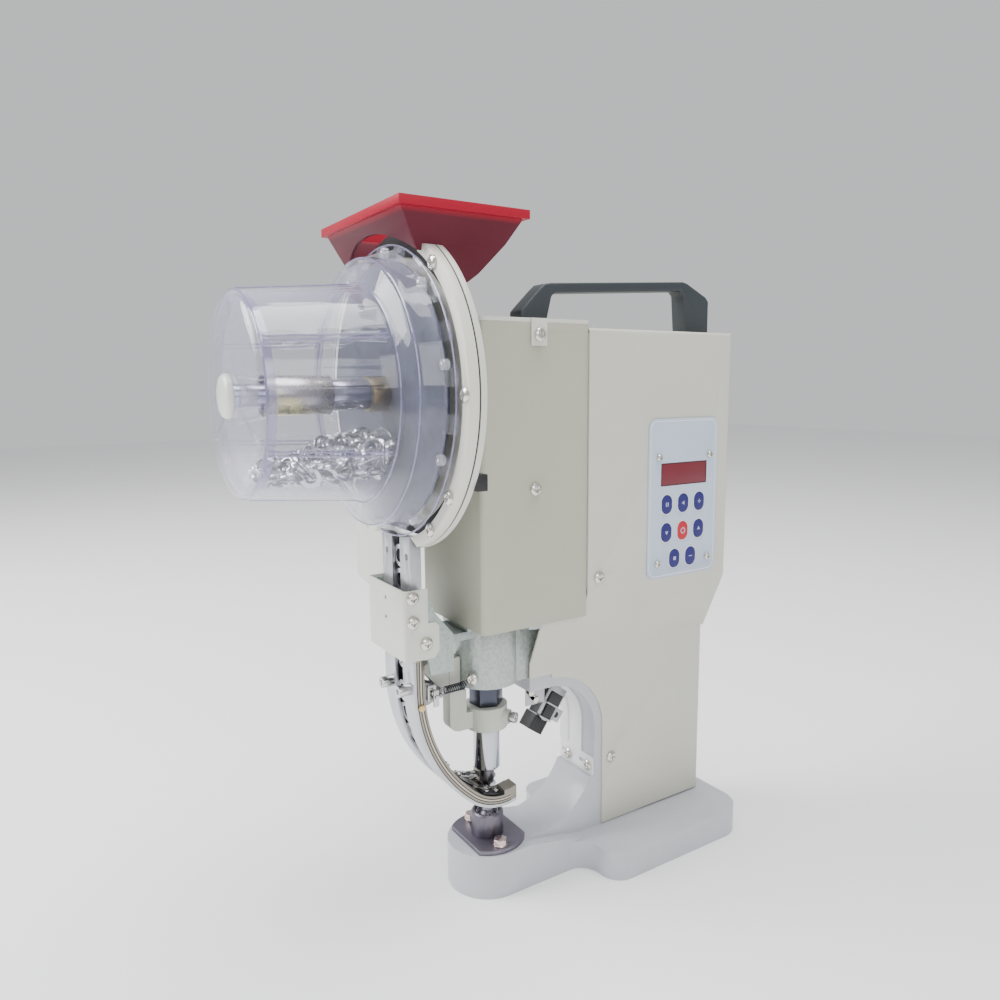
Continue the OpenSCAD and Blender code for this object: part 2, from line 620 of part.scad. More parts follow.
// ---------- hopper, turning side ----------
module hopper_drum() color([0.8, 0.85, 0.95, 0.35]) translate([0, 0, hop_z]) {
    draft = atan((drum_back_r - drum_r) / (drum_front + step_y));
    f = -drum_front;
    w = drum_wall;
    difference() {
        union() {
            rotate([-90, 0, 0]) rotate_extrude($fn = 128)
                polygon([[8.05, f], [drum_r - 6, f], [drum_r - 1.7, f + 1.7], [drum_r, f + 6],
                    [drum_back_r, step_y - 1], [drum_back_r + 1.5, step_y + 0.8],
                    [flange_r - 1, step_y + 3], [flange_r + 1, step_y + 5.5],
                    [rim_r - 3, rim_y - 3], [rim_r, rim_y - 1.8], [rim_r, rim_y], [rim_r - 7, rim_y],
                    [flange_r - w + 0.8, step_y + 6.5],
                    [flange_r - w - 0.4, step_y + 5.6], [drum_back_r - 1, step_y + 3.3],
                    [drum_back_r - w, step_y],
                    [drum_r - w, f + 6.4], [drum_r - 3.6, f + w + 1.2], [drum_r - 6.4, f + w], [19, f + w],
                    [15.5, f + 22], [8.05, f + 22]]);
            for (i = [0:5]) rotate([0, 60 * i + 30, 0]) translate([drum_r - w - 1.4, f + 5, -1])
                rotate([0, 0, -draft]) cube([2.4, drum_front + step_y - 8, 2]);
            for (i = [0:2]) rotate([0, 120 * i + 30, 0])
                translate([18, f + 1, -1]) cube([drum_r - 24, 3.4, 2]);
        }
        for (i = [0:windows - 1]) rotate([0, 360 / windows * (i + 0.12), 0])
            translate([rim_r - 10, rim_y - 6.2, -8.6]) cube([20, 10, 17.2]);
    }
}
module feed_disc() color([0.3, 0.33, 0.4]) difference() {
    rod_y(disc_y0, disc_y1, 0, hop_z, disc_r);
    rod_y(disc_y0 - cut, disc_y1 + cut, 0, hop_z, shaft_r + 0.02);
}
module drum_shaft() color([0.75, 0.76, 0.8]) {
    f = -drum_front;
    rod_y(f, f + 23, 0, hop_z, 8);
    rod_y(f + 22, shaft_end, 0, hop_z, shaft_r);
    rod_y(shaft_end - 1, shaft_end + 17, 0, hop_z, shaft_tail_r);
}
module shaft_sleeve() color([0.72, 0.68, 0.5]) difference() {
    rod_y(-drum_front + 22, -drum_front + 67, 0, hop_z, sleeve_r);
    rod_y(-drum_front, -drum_front + 70, 0, hop_z, shaft_r + 0.02);
}
module shaft_collar() color([0.62, 0.55, 0.35]) difference() {
    rod_y(disc_y0 - 13.5, disc_y0, 0, hop_z, shaft_r + 1.6);
    rod_y(disc_y0 - 15, disc_y0 + cut, 0, hop_z, shaft_r + 0.02);
    translate([0, 0, hop_z]) rotate([0, -20, 0]) rod_x(shaft_r + 0.4, shaft_r + 3, disc_y0 - 6.5, 0, 1.6);
}
module drum_cap() color([0.9, 0.9, 0.88]) translate([0, -drum_front, hop_z]) rotate([90, 0, 0])
    rotate_extrude($fn = 64) polygon([[0, 0], [14.5, 0], [14.5, 3], [13, 4.6], [11, 5.2], [0, 5.2]]);

// ---------- feed chute ----------
// side view of one layer of the swinging chute, d0 to d1 in from its outer face
module chute_layer(d0, d1) intersection() {
    union() {
        rect(chute_y + d0, chute_y + d1, bend_z1 - 0.01, low_chute_z);
        translate([bend_y1, bend_z1]) sector(bend_r1 - d1, bend_r1 - d0, 179.5, 180 + bend_a + 0.5);
        translate([bend_y2, bend_z2]) sector(bend_r2 - d1, bend_r2 - d0, 180 + bend_a, 290);
    }
    rect(-90, tip_y, 50, 260);
}
low_screw_at = [[-11.5, 186], [17.5, 188]];
up_screw_at = [for (x = [-16, 17.5]) [x, ring_low - 4.5]];
module upper_chute() color([0.72, 0.73, 0.72]) difference() {
    top = ring_low + 16.5;
    union() {
        box(-up_chute_hw, up_chute_hw, chute_y + chute_t - back_t, chute_y + chute_t, up_chute_z, top);
        both() {
            box(channel_hw, up_chute_hw, chute_y + 1, chute_y + chute_t - 1, up_chute_z, top);
            box(slot_hw, up_chute_hw, chute_y, chute_y + strip_t, up_chute_z, top);
        }
    }
    rod_y(chute_y - cut, chute_y + chute_t + cut, 0, hop_z, rim_r + 1.5);
    for (p = up_screw_at) rod_y(-90, chute_y + 6, p[0], p[1], 2.5);
}
module chute_body() color([0.5, 0.48, 0.45]) difference() {
    union() {
        yz(-chute_hw, chute_hw) chute_layer(chute_t - back_t, chute_t);
        both() {
            yz(channel_hw, chute_hw) chute_layer(strip_t, chute_t - 1);
            yz(lug_x0 - 1, lug_x0 + 2.5)
                rect(chute_y + strip_t + 0.3, chute_y + chute_t, 212, low_chute_z - 2);
            yz(lug_x0 + 0.1, lug_x0 + 2.5) {
                translate([pivot_y, pivot_z]) circle(r = 5.2);
                rect(pivot_y - 5.2, pivot_y + 3.5, 212, pivot_z);
            }
            yz(13, chute_hw) intersection() {
                translate([bend_y2, bend_z2])
                    sector(bend_r2 - chute_t - 4, bend_r2 - chute_t + 0.5, 270, 292);
                rect(1, tip_y, 60, 100);
            }
        }
    }
    box(-slot_hw, slot_hw, -9, 20, 60, 100);
    rod_x(-40, 40, pivot_y, pivot_z, pin_r + run_fit);
    for (p = low_screw_at) rod_y(-90, chute_y + 6, p[0], p[1], 2.5);
}
module chute_strips() color([0.8, 0.8, 0.82]) difference() {
    both() yz(slot_hw, chute_hw) chute_layer(0, strip_t);
    for (p = low_screw_at) rod_y(-90, chute_y + 6, p[0], p[1], 2.5);
}
gate_screw_a = [39.5, 46.5];
module chute_screws() color([0.7, 0.7, 0.7]) {
    for (p = low_screw_at) at_front(p[0], chute_y, p[1]) socket_head(10, 4.4, 5);
    for (a = gate_screw_a) translate([0, bend_y1, bend_z1]) rotate([a, 0, 0])
        translate([0, -(bend_r1 - chute_t - 1.25), 0]) rotate([-90, 0, 0])
            socket_head(2.6, 2.6, 1.2, 1.2, 1.3);
    at_right(lug_x0, -71.5, 174.5) cylinder(h = 1.5, r = 2.6, $fn = 32);
}
module chute_gate() color([0.12, 0.13, 0.15]) difference() {
    yz(-8, 8) {
        translate([bend_y1, bend_z1])
            sector(bend_r1 - chute_t - 1.2, bend_r1 - chute_t, 165 + bend_a, 180 + bend_a);
        translate([bend_y2, bend_z2]) sector(bend_r2 - chute_t - 1.2, bend_r2 - chute_t, 180 + bend_a, 244);
    }
    for (a = gate_screw_a) translate([0, bend_y1, bend_z1]) rotate([a, 0, 0])
        rod_y(-bend_r1, -bend_r1 + 40, 0, 0, 1.3);
}
function chute_back_at(z) = bend_y1 - sqrt(pow(bend_r1 - chute_t, 2) - pow(bend_z1 - z, 2));
module chute_lever() color([0.35, 0.35, 0.36]) {
    both() yz(6.2, 9) {
        polygon([[chute_back_at(foll_z - 8), foll_z - 8], [chute_back_at(foll_z + 12), foll_z + 12],
            [foll_y - 8, foll_z + 10], [foll_y, foll_z + 5], [foll_y, foll_z - 5], [foll_y - 8, foll_z - 8]]);
        translate([foll_y, foll_z]) circle(r = 5);
    }
    rod_x(-5.9, 5.9, foll_y, foll_z, foll_r);
    rod_x(-9, 16, foll_y, foll_z, 1.6);
}
// eyelets queued in the swinging chute, spaced along its channel
module chute_eyelets() color([0.75, 0.75, 0.76]) {
    r1 = bend_r1 - strip_t - 0.2;
    r2 = bend_r2 - strip_t - 0.5;
    for (z = [226, 208]) translate([0, chute_y + strip_t + 0.2, z]) rotate([-90, 0, 0]) eyelet();
    for (a = [3.5:8:44]) translate([0, bend_y1, bend_z1]) rotate([a, 0, 0]) translate([0, -r1, 0])
        rotate([-90, 0, 0]) eyelet();
    translate([0, bend_y2, bend_z2]) rotate([56, 0, 0]) translate([0, -r2, 0]) rotate([-90, 0, 0]) eyelet();
}
cheek_side = [[-84, 217], [-84, 265.5], [-69, 265.5], [-62, 248], [-54, 238], [-46.5, 229],
    [-46.5, 200], [-66, 200], [-68, 217]];
module chute_bracket() color([0.68, 0.73, 0.71]) difference() {
    union() {
        both() {
            yz(cheek_x0, cheek_x1) polygon(cheek_side);
            rod_x(lug_x0 + 0.3, cheek_x0 + 1, pivot_y, pivot_z, pin_r);
            box(up_chute_hw, cheek_x0 + 1, chute_y + 1, chute_y + chute_t - 1, 251, 264);
        }
        box(-cheek_x1, cheek_x1, -50, -46.5, 200, 229);
        box(-18, 18, -50, -15, 217.5, 223.7);
    }
    rod_z(150, 240, 0, 0, house_r);
    for (p = guard_screw_at) both() rod_x(cheek_x0 - cut, 40, p[0], p[1], 2.5);
}
guard_side = [[guard_y - 1, 214], [guard_y - 1, 267], [-68, 267], [-68, 241], [-62, 241],
    [-59, 238], [-59, 219], [-63, 214]];
module chute_guard() color([0.84, 0.84, 0.82]) difference() {
    intersection() {
        xy(213, 268) difference() {
            front_plan(guard_x, guard_y, -50, 3);
            front_plan(cheek_x1, guard_y + guard_t, -40, 1.2);
        }
        yz(-40, 40) polygon(guard_side);
    }
    for (z = [241.7, 256.5]) rod_y(-90, -80, 0, z, 1.6);
    for (p = guard_screw_at) rod_x(-40, 40, p[0], p[1], 2.5);
}

// ---------- press train ----------
module ram_spindle() color([0.7, 0.71, 0.74]) difference() {
    union() {
        rod_z(112.2, 258, 0, 0, ram_r);
        rod_z(254, 258, 0, 0, 13.5);
        box(-7, 7, -fork_y1, fork_y1, 257, 262);
        for (s = [-1, 1]) translate([0, s * (fork_y0 + fork_y1) / 2, 0])
            box(-7, 7, (fork_y0 - fork_y1) / 2, (fork_y1 - fork_y0) / 2, 257, roller_z + 7);
    }
    rod_y(-20, 20, 0, roller_z, 2.52);
}
module cam_roller() color([0.55, 0.56, 0.6]) {
    rod_y(-5.2, 5.2, 0, roller_z, roller_r);
    rod_y(-fork_y1, fork_y1, 0, roller_z, 2.5);
}
module return_spring() color([0.6, 0.6, 0.63]) coil(12.2, 0.9, house_z1 + 0.9, 254 - 0.9, 4);
// wire wound from z0 to z1 as one closed tube
module coil(r, wire, z0, z1, turns) {
    steps = turns * 8;
    sides = 6;
    pts = [for (i = [0:steps]) let (a = 360 * i / 8, z = z0 + (z1 - z0) * i / steps)
        for (j = [0:sides - 1]) let (b = 360 * j / sides, q = r + wire * cos(b))
            [q * cos(a), q * sin(a), z + wire * sin(b)]];
    faces = concat([[for (j = [0:sides - 1]) j]],
        [for (i = [0:steps - 1]) for (j = [0:sides - 1]) let (k = (j + 1) % sides)
            [i * sides + j, (i + 1) * sides + j, (i + 1) * sides + k, i * sides + k]],
        [[for (j = [0:sides - 1]) steps * sides + sides - 1 - j]]);
    polyhedron(points = pts, faces = faces);
    echo(gap_between_turns = (z1 - z0) / turns - 2 * wire);
}
module tension_spring() color([0.2, 0.2, 0.22]) translate([13.2, -45.6, 178.5]) rotate([-87, 0, -2])
    coil(2.9, 0.5, 0, 17.5, 10);
module ram_arm() color([0.84, 0.84, 0.79]) difference() {
    g = foll_r + foll_gap;
    l = norm([foll_end_y - foll_y, foll_end_z - foll_z]);
    dy = (foll_end_y - foll_y) / l;
    dz = (foll_end_z - foll_z) / l;
    union() {
        rod_z(collar_z0, collar_z1, 0, 0, collar_r);
        rotate([0, 0, 33]) rod_x(10, 21, 0, 145, 6);
        box(-6, 6, -30, -12, 138, 152);
        yz(-6, 6) {
            rect(-37, -22, 146, 172);
            rect(-37, -house_r - 0.5, 146, 198);
            translate([-29.5, 146]) circle(r = 7.5);
            rect(-35, -house_r - 0.5, 180, 200);
        }
        yz(-5, 5) polygon([[foll_y + g * dz - 6 * dy, foll_z - g * dy - 6 * dz],
            [foll_end_y + g * dz + 2 * dy, foll_end_z - g * dy + 2 * dz],
            [-56, 199], [-30, 199], [-30, foll_z - 8]]);
    }
    rod_z(100, 200, 0, 0, ram_r + 0.02);
    rotate([0, 0, 33]) rod_x(8, 30, 0, 145, 2.5);
}
module clamp_screw() color([0.7, 0.7, 0.68]) rotate([0, 0, 33]) at_right(21, 0, 145) socket_head(6, 4.4, 10);
module punch_holder() color([0.75, 0.76, 0.8]) difference() {
    rotate_extrude($fn = 64) polygon([[0, 98], [9.6, 98], [11, 99.6], [11, collar_z0], [0, collar_z0]]);
    rod_z(112, 140, 0, 0, ram_r + 0.02);
    rod_z(90, 113, 0, 0, 4.02);
}
module punch() color([0.3, 0.31, 0.34]) rotate_extrude($fn = 64)
    polygon([[0, 81], [2.6, 81], [3.4, 82.5], [3.8, 85], [punch_r - 0.4, 86.2], [punch_r, 88],
        [punch_r, 98], [4, 98], [4, 111.5], [0, 111.5]]);
shaft_neck_y = 60;
cam_shaft_end = gear_y0 + 13;
module cam_shaft() color([0.6, 0.61, 0.64]) {
    rod_y(wall_y0 + 0.5, shaft_neck_y, 0, cam_z, shaft_cam_r);
    rod_y(shaft_neck_y - 1, cam_shaft_end, 0, cam_z, shaft_cam_r - 3);
    rod_y(cam_hy - 1, cam_hy + 10, 0, cam_z, 15);
    xz(-cam_hy, cam_hy) translate([0, cam_z]) cam_plate();
}
// plate cam: even rise over the working turn, even fall back, short rest before the rise
cam_rest = 345;
function cam_pitch(a) = cam_r0
    + stroke * (a <= cam_turn ? a / cam_turn : max(0, cam_rest - a) / (cam_rest - cam_turn));
function cam_slope(a) = a < cam_turn ? stroke / cam_turn * 180 / PI
    : (a < cam_rest ? -stroke / (cam_rest - cam_turn) * 180 / PI : 0);
module cam_plate() polygon([for (a = [0:5:355]) let (
    p = cam_pitch(a), c = cam_slope(a), t = [c * sin(a) + p * cos(a), -c * cos(a) + p * sin(a)],
    n = [-t[1], t[0]] / norm(t)) [p * sin(a), -p * cos(a)] + n * (roller_r + roller_gap)]);
module drive_motor() color([0.25, 0.26, 0.28]) difference() {
    union() {
        box(-motor_r - 1, motor_r + 1, gear_y0, gear_y1, cam_z - gear_h, cam_z + gear_h);
        rod_y(gear_y1 - 1, motor_y1, 0, cam_z, motor_r);
    }
    rod_y(gear_y0 - cut, cam_shaft_end + 1, 0, cam_z, shaft_cam_r - 3 + run_fit);
}

// ---------- lamp ----------
lamp_y = 56;
lamp_z = 137;
lamp_a = 35.5;
module lamp_arc(t0, t1, z0, a1) {
    rect(throat_back - t1, throat_back - t0, z0, throat_z);
    translate([throat_y, throat_z]) sector(throat_r - t1, throat_r - t0, 0, a1);
}
module lamp_strip() color([0.88, 0.88, 0.88]) difference() {
    union() {
        yz(-22, 6.8) {
            lamp_arc(0, 1.5, 85, 90);
            rect(30, throat_y, throat_z + throat_r - 1.5, throat_z + throat_r);
        }
        yz(-22, -11) lamp_arc(1.5, 3, 92, 75);
        yz(-23, 22.8) rect(throat_back - 1.5, throat_back, foot_z0, 89);
    }
    for (x = lamp_screw_x) {
        rod_y(80, 110, x, lamp_screw_z, 2.5);
        box(x - 12, x - 5.5, 80, 110, lamp_screw_z - 0.4, lamp_screw_z + 2.8);
    }
    box(-1.9, 1.9, 54, 68, 155, 165);
}
module lamp_bracket() color([0.72, 0.73, 0.75]) {
    zt = throat_z + throat_r - 1.5;
    difference() {
        union() {
            box(-8, 11, 33, throat_y, zt - 1.6, zt);
            yz(8.6, 10.2) {
                rect(33, 52, 146, zt - 0.4);
                translate([lamp_y, lamp_z]) rotate(-35) rect(-9, 9, -6, 22);
                translate([lamp_y, lamp_z]) circle(r = 9);
            }
        }
        for (c = [[38, 157], [43, 150]]) yz(0, 20) translate(c) rotate(-35) {
            rect(-3.5, 3.5, -1.8, 1.8);
            for (s = [-1, 1]) translate([3.5 * s, 0]) circle(r = 1.8);
        }
    }
    rod_x(3, 9.5, lamp_y, lamp_z, 2);
}
module lamp_body() color([0.08, 0.08, 0.09]) difference() {
    translate([0, lamp_y, lamp_z]) rotate([-lamp_a, 0, 0]) {
        box(-7, 7, -7, 7, 6, 17);
        box(-6, 6, -6, 6, -8, 7);
        box(-7.5, 7.5, -7.5, 7.5, -21, -7.5);
    }
    lead_path(lead_r + 0.02);
    rod_x(1, 9, lamp_y, lamp_z, 2 + run_fit);
    translate([0, lamp_y, lamp_z]) rotate([-lamp_a, 0, 0]) rod_z(-22, -18, 0, 0, 5.6);
}
// round lead bent in the side plane, from the lamp up through the slot in the strip
lead_r = 1.3;
module lead_path(w) translate([0, 54.5, 150.5]) rotate([90, 0, 90]) rotate([0, 0, -14])
    rotate_extrude(angle = 74, $fn = 48) translate([12, 0]) circle(r = w, $fn = 16);
module lamp_lead() color([0.05, 0.05, 0.05]) lead_path(lead_r);

base_casting();
press_head();
rear_cover();
head_cover();
top_plate();
carry_handle();
control_panel();
display_window();
control_board();
pan_screws();
ring_right();
ring_left();
ring_gasket();
hopper_back_plate();
hopper_sensor();
loose_eyelets();
hopper_motor();
fill_funnel();
upper_chute();
chute_guard();
chute_bracket();
guide_nut();
die_plate();
die_bolts();
lower_die();
lamp_strip();
lamp_bracket();
lamp_lead();
lamp_body();
drive_motor();
power_inlet();
tension_spring();
return_spring();
hopper_drum();
feed_disc();
drum_shaft();
shaft_sleeve();
shaft_collar();
drum_cap();
ram_spindle();
punch_holder();
ram_arm();
clamp_screw();
punch();
cam_roller();
cam_shaft();
chute_body();
chute_strips();
chute_screws();
chute_gate();
chute_lever();
chute_eyelets();
key_1();
key_2();
key_3();
key_4();
key_5();
key_6();
key_7();
key_8();
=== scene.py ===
import bpy
import bmesh
import json
import math
import random
from mathutils import Matrix, Vector


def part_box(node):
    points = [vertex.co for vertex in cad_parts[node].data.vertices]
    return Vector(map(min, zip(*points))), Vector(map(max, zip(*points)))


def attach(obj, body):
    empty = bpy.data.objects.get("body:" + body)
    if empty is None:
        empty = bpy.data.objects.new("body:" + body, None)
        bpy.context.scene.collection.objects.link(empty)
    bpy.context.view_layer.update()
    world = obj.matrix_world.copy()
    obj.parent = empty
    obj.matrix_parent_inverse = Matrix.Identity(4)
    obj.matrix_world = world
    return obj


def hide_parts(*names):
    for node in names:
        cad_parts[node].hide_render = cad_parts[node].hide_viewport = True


# Eyelet machine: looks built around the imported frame. Metres, +Z up, the ram moves along Z.
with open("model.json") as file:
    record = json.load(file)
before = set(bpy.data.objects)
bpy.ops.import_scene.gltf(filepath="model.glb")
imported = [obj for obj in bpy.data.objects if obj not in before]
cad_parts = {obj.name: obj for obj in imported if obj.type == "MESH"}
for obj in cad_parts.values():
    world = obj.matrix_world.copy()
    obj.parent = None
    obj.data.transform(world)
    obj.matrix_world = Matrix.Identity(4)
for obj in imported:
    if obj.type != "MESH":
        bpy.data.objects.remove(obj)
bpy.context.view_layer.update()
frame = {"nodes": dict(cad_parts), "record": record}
mm = 0.001
hopperZ = 407 * mm
print("frame loaded:", len(frame["nodes"]), "nodes")


class Sock:
    # one output socket; operators add Math nodes
    def __init__(self, finish, out):
        self.finish = finish
        self.out = out

    def math(self, operation, *others):
        return self.finish.node("ShaderNodeMath", {"operation": operation}, [self, *others])

    def __add__(self, other): return self.math("ADD", other)
    def __radd__(self, other): return self.math("ADD", other)
    def __sub__(self, other): return self.math("SUBTRACT", other)

    def __rsub__(self, other):
        return self.finish.node("ShaderNodeMath", {"operation": "SUBTRACT"}, [other, self])

    def __mul__(self, other): return self.math("MULTIPLY", other)
    def __rmul__(self, other): return self.math("MULTIPLY", other)
    def __truediv__(self, other): return self.math("DIVIDE", other)
    def __pow__(self, other): return self.math("POWER", other)


class Finish:
    # one material with a Principled shader
    def __init__(self, name, **fixed):
        self.material = bpy.data.materials.new(name)
        self.material.use_nodes = True
        self.tree = self.material.node_tree
        self.shader = self.tree.nodes["Principled BSDF"]
        self.output = self.tree.nodes["Material Output"]
        for socket, value in fixed.items():
            self.shader.inputs[socket.replace("_", " ")].default_value = value

    def node(self, kind, settings=None, inputs=None, output=0):
        made = self.tree.nodes.new(kind)
        for key, value in (settings or {}).items():
            if key == "stops":
                ramp = made.color_ramp
                while len(ramp.elements) < len(value):
                    ramp.elements.new(0.5)
                for element, (place, colour) in zip(ramp.elements, value):
                    element.position = place
                    element.color = (*colour, 1)
            else:
                setattr(made, key, value)
        pairs = inputs.items() if isinstance(inputs, dict) else enumerate(inputs or [])
        for key, value in pairs:
            self.feed(made.inputs[key], value)
        return Sock(self, made.outputs[output])

    def feed(self, socket, value):
        if isinstance(value, Sock):
            self.tree.links.new(value.out, socket)
        elif hasattr(socket.default_value, "__len__") and not hasattr(value, "__len__"):
            socket.default_value = [value] * len(socket.default_value)
        else:
            socket.default_value = value

    def set(self, socket, value):
        self.feed(self.shader.inputs[socket], value)

    def place(self, scale=(1, 1, 1), turn=(0, 0, 0)):
        coords = self.node("ShaderNodeTexCoord", output=3)
        return self.node("ShaderNodeMapping", {}, {"Vector": coords, "Scale": scale, "Rotation": turn})

    def noise(self, scale, detail=2, stretch=(1, 1, 1), roughness=0.5):
        return self.node("ShaderNodeTexNoise", {}, {"Vector": self.place(stretch), "Scale": scale,
                                                    "Detail": detail, "Roughness": roughness})

    def cells(self, scale, feature="F1", stretch=(1, 1, 1)):
        return self.node("ShaderNodeTexVoronoi", {"feature": feature},
                         {"Vector": self.place(stretch), "Scale": scale})

    def mix(self, factor, first, second):
        first, second = [(*c, 1) if not isinstance(c, Sock) and len(c) == 3 else c for c in (first, second)]
        return self.node("ShaderNodeMix", {"data_type": "RGBA"}, {0: factor, 6: first, 7: second}, 2)

    def ramp(self, value, stops):
        return self.node("ShaderNodeValToRGB", {"stops": stops}, [value])

    def band(self, value, low, high):
        return self.node("ShaderNodeMapRange", {}, [value, low, high, 0.0, 1.0])

    def axis(self, which):
        coords = self.node("ShaderNodeTexCoord", output=3)
        split = self.node("ShaderNodeSeparateXYZ", {}, [coords], "XYZ".index(which))
        return split

    def bump(self, height, distance, strength=1.0):
        self.set("Normal", self.node("ShaderNodeBump", {}, {"Height": height, "Distance": distance,
                                                           "Strength": strength}))


def tint(colour, factor):
    return tuple(min(1, c * factor) for c in colour)


def powderCoat(name, colour, gloss=0.42, grain=0.00006):
    f = Finish(name, Specular_IOR_Level=0.45)
    cloud = f.noise(14, 3)
    peel = f.noise(900, 2)
    f.set("Base Color", f.mix(f.band(cloud, 0.3, 0.7), tint(colour, 0.975), tint(colour, 1.025)))
    f.set("Roughness", gloss + 0.1 * cloud)
    f.bump(peel, grain * 6, 0.35)
    return f.material


def castEnamel(name, colour):
    f = Finish(name, Coat_Weight=0.25, Coat_Roughness=0.12)
    lumps = f.noise(55, 3)
    skin = f.noise(420, 2)
    f.set("Base Color", f.mix(f.band(lumps, 0.35, 0.7), tint(colour, 0.96), colour))
    f.set("Roughness", 0.3 + 0.12 * lumps)
    f.bump(lumps * 0.7 + skin * 0.3, 0.0011, 0.3)
    return f.material


def hammertone(name, colour):
    f = Finish(name, Metallic=0.25, Coat_Weight=0.4, Coat_Roughness=0.1)
    dimples = f.cells(430, "SMOOTH_F1", (1, 1, 0.8))
    ripple = f.noise(300, 2)
    f.set("Base Color", f.mix(f.band(dimples, 0.1, 0.6), tint(colour, 0.86), tint(colour, 1.08)))
    f.set("Roughness", 0.28 + 0.2 * ripple)
    f.bump(dimples * 0.8 + ripple * 0.4, 0.0009, 0.55)
    return f.material


def steel(name, colour, shine=0.25, along="Z", grainy=0.5, metallic=1.0):
    f = Finish(name, Metallic=metallic)
    stretch = {"X": (0.03, 1, 1), "Y": (1, 0.03, 1), "Z": (1, 1, 0.03)}[along]
    hairs = f.noise(1500, 3, stretch, 0.7)
    patch = f.noise(45, 2)
    f.set("Base Color", f.mix(f.band(patch, 0.3, 0.7), tint(colour, 0.9), tint(colour, 1.06)))
    f.set("Roughness", shine + 0.12 * patch + 0.1 * grainy * hairs)
    f.bump(hairs, 0.00006, grainy)
    return f.material


def plating(name, colour, shine=0.1):
    f = Finish(name, Metallic=1.0)
    haze = f.noise(90, 3)
    f.set("Base Color", f.mix(f.band(haze, 0.3, 0.7), tint(colour, 0.93), colour))
    f.set("Roughness", shine + 0.12 * haze)
    f.bump(haze, 0.0001, 0.2)
    return f.material


def yellowZinc(name):
    f = Finish(name, Metallic=1.0)
    drift = f.noise(38, 3, (1, 0.5, 1))
    # the colour also shifts with height across the horizontal sleeve, which paints reflection bands along its
    # length; the noise gives the random chromate tint
    f.set("Base Color", f.ramp(f.band(drift + f.axis("Z") * 6 - 2.45, 0.2, 0.8), [
        (0.0, (0.50, 0.50, 0.30)), (0.3, (0.60, 0.56, 0.22)), (0.5, (0.36, 0.33, 0.30)),
        (0.72, (0.42, 0.40, 0.44)), (1.0, (0.62, 0.60, 0.28))]))
    f.set("Roughness", 0.2 + 0.14 * f.noise(200, 2))
    f.bump(f.noise(1400, 2, (1, 0.05, 1)), 0.00005, 0.4)
    return f.material


def mouldedPlastic(name, colour, gloss=0.35, grain=0.3, coat=0.0):
    f = Finish(name, Coat_Weight=coat, Coat_Roughness=0.08)
    drift = f.noise(25, 2)
    skin = f.noise(1600, 2)
    f.set("Base Color", f.mix(f.band(drift, 0.3, 0.7), tint(colour, 0.92), tint(colour, 1.05)))
    f.set("Roughness", gloss + 0.1 * drift)
    f.bump(skin, 0.0001, grain)
    return f.material


def clearPlastic(name, colour, clearness=0.06, edge=0.8):
    # thin clear wall: see-through where it faces the eye, denser and glossier towards its edges
    f = Finish(name, Coat_Weight=1.0, Coat_Roughness=0.03, IOR=1.5)
    flow = f.noise(22, 2, (1, 0.4, 1))
    f.set("Base Color", f.mix(f.band(flow, 0.3, 0.7), tint(colour, 0.94), colour))
    f.set("Roughness", 0.05 + 0.04 * flow)
    f.bump(flow, 0.0005, 0.05)
    facing = f.node("ShaderNodeLayerWeight", {}, {"Blend": 0.5}, 1)
    window = f.node("ShaderNodeBsdfTransparent", {}, {"Color": (0.975, 0.975, 0.99, 1)})
    density = clearness + edge * facing ** 2.4
    blend = f.node("ShaderNodeMixShader", {}, {0: density, 1: window, 2: Sock(f, f.shader.outputs[0])})
    gloss = f.node("ShaderNodeBsdfGlossy", {}, {"Color": (1, 1, 1, 1), "Roughness": 0.05})
    wall = f.node("ShaderNodeMixShader", {}, {0: 0.03 + 0.4 * facing ** 4, 1: blend, 2: gloss})
    f.feed(f.output.inputs["Surface"], wall)
    return f.material


def redFunnel(name):
    f = Finish(name, Specular_IOR_Level=0.12)
    cloud = f.noise(18, 3)
    dust = f.noise(600, 2)
    # the funnel is one plastic; its top few millimetres are painted bright red over the dark red body, a
    # painted highlight on the rim
    high = f.band(f.axis("Z"), 0.5215, 0.5255)
    body = f.mix(f.band(cloud, 0.3, 0.7), (0.085, 0.011, 0.02), (0.11, 0.016, 0.028))
    f.set("Base Color", f.mix(high, body, (0.34, 0.012, 0.03)))
    f.set("Roughness", 0.3 + 0.12 * cloud)
    f.bump(dust, 0.00008, 0.3)
    return f.material


def keypadFilm(name):
    f = Finish(name, Coat_Weight=0.35, Coat_Roughness=0.15)
    depth = f.axis("Z")
    dots = f.noise(2500, 1)
    low = f.band(depth, 0.255, 0.275)
    field = f.mix(low, (0.36, 0.40, 0.55), (0.47, 0.56, 0.66))
    f.set("Base Color", f.mix(f.band(dots, 0.35, 0.65), field, tint((0.47, 0.56, 0.66), 1.06)))
    f.set("Roughness", 0.3 + 0.08 * f.noise(60, 2))
    f.bump(dots, 0.00003, 0.3)
    return f.material


def darkDisc(name):
    f = Finish(name, Coat_Weight=0.3, Coat_Roughness=0.2)
    scuff = f.noise(70, 4, (1, 1, 1), 0.7)
    specks = f.cells(330)
    f.set("Base Color", f.mix(f.band(scuff, 0.35, 0.75), (0.035, 0.042, 0.07), (0.085, 0.10, 0.15)))
    f.set("Roughness", 0.35 + 0.25 * scuff)
    f.bump(specks, 0.0001, 0.2)
    return f.material


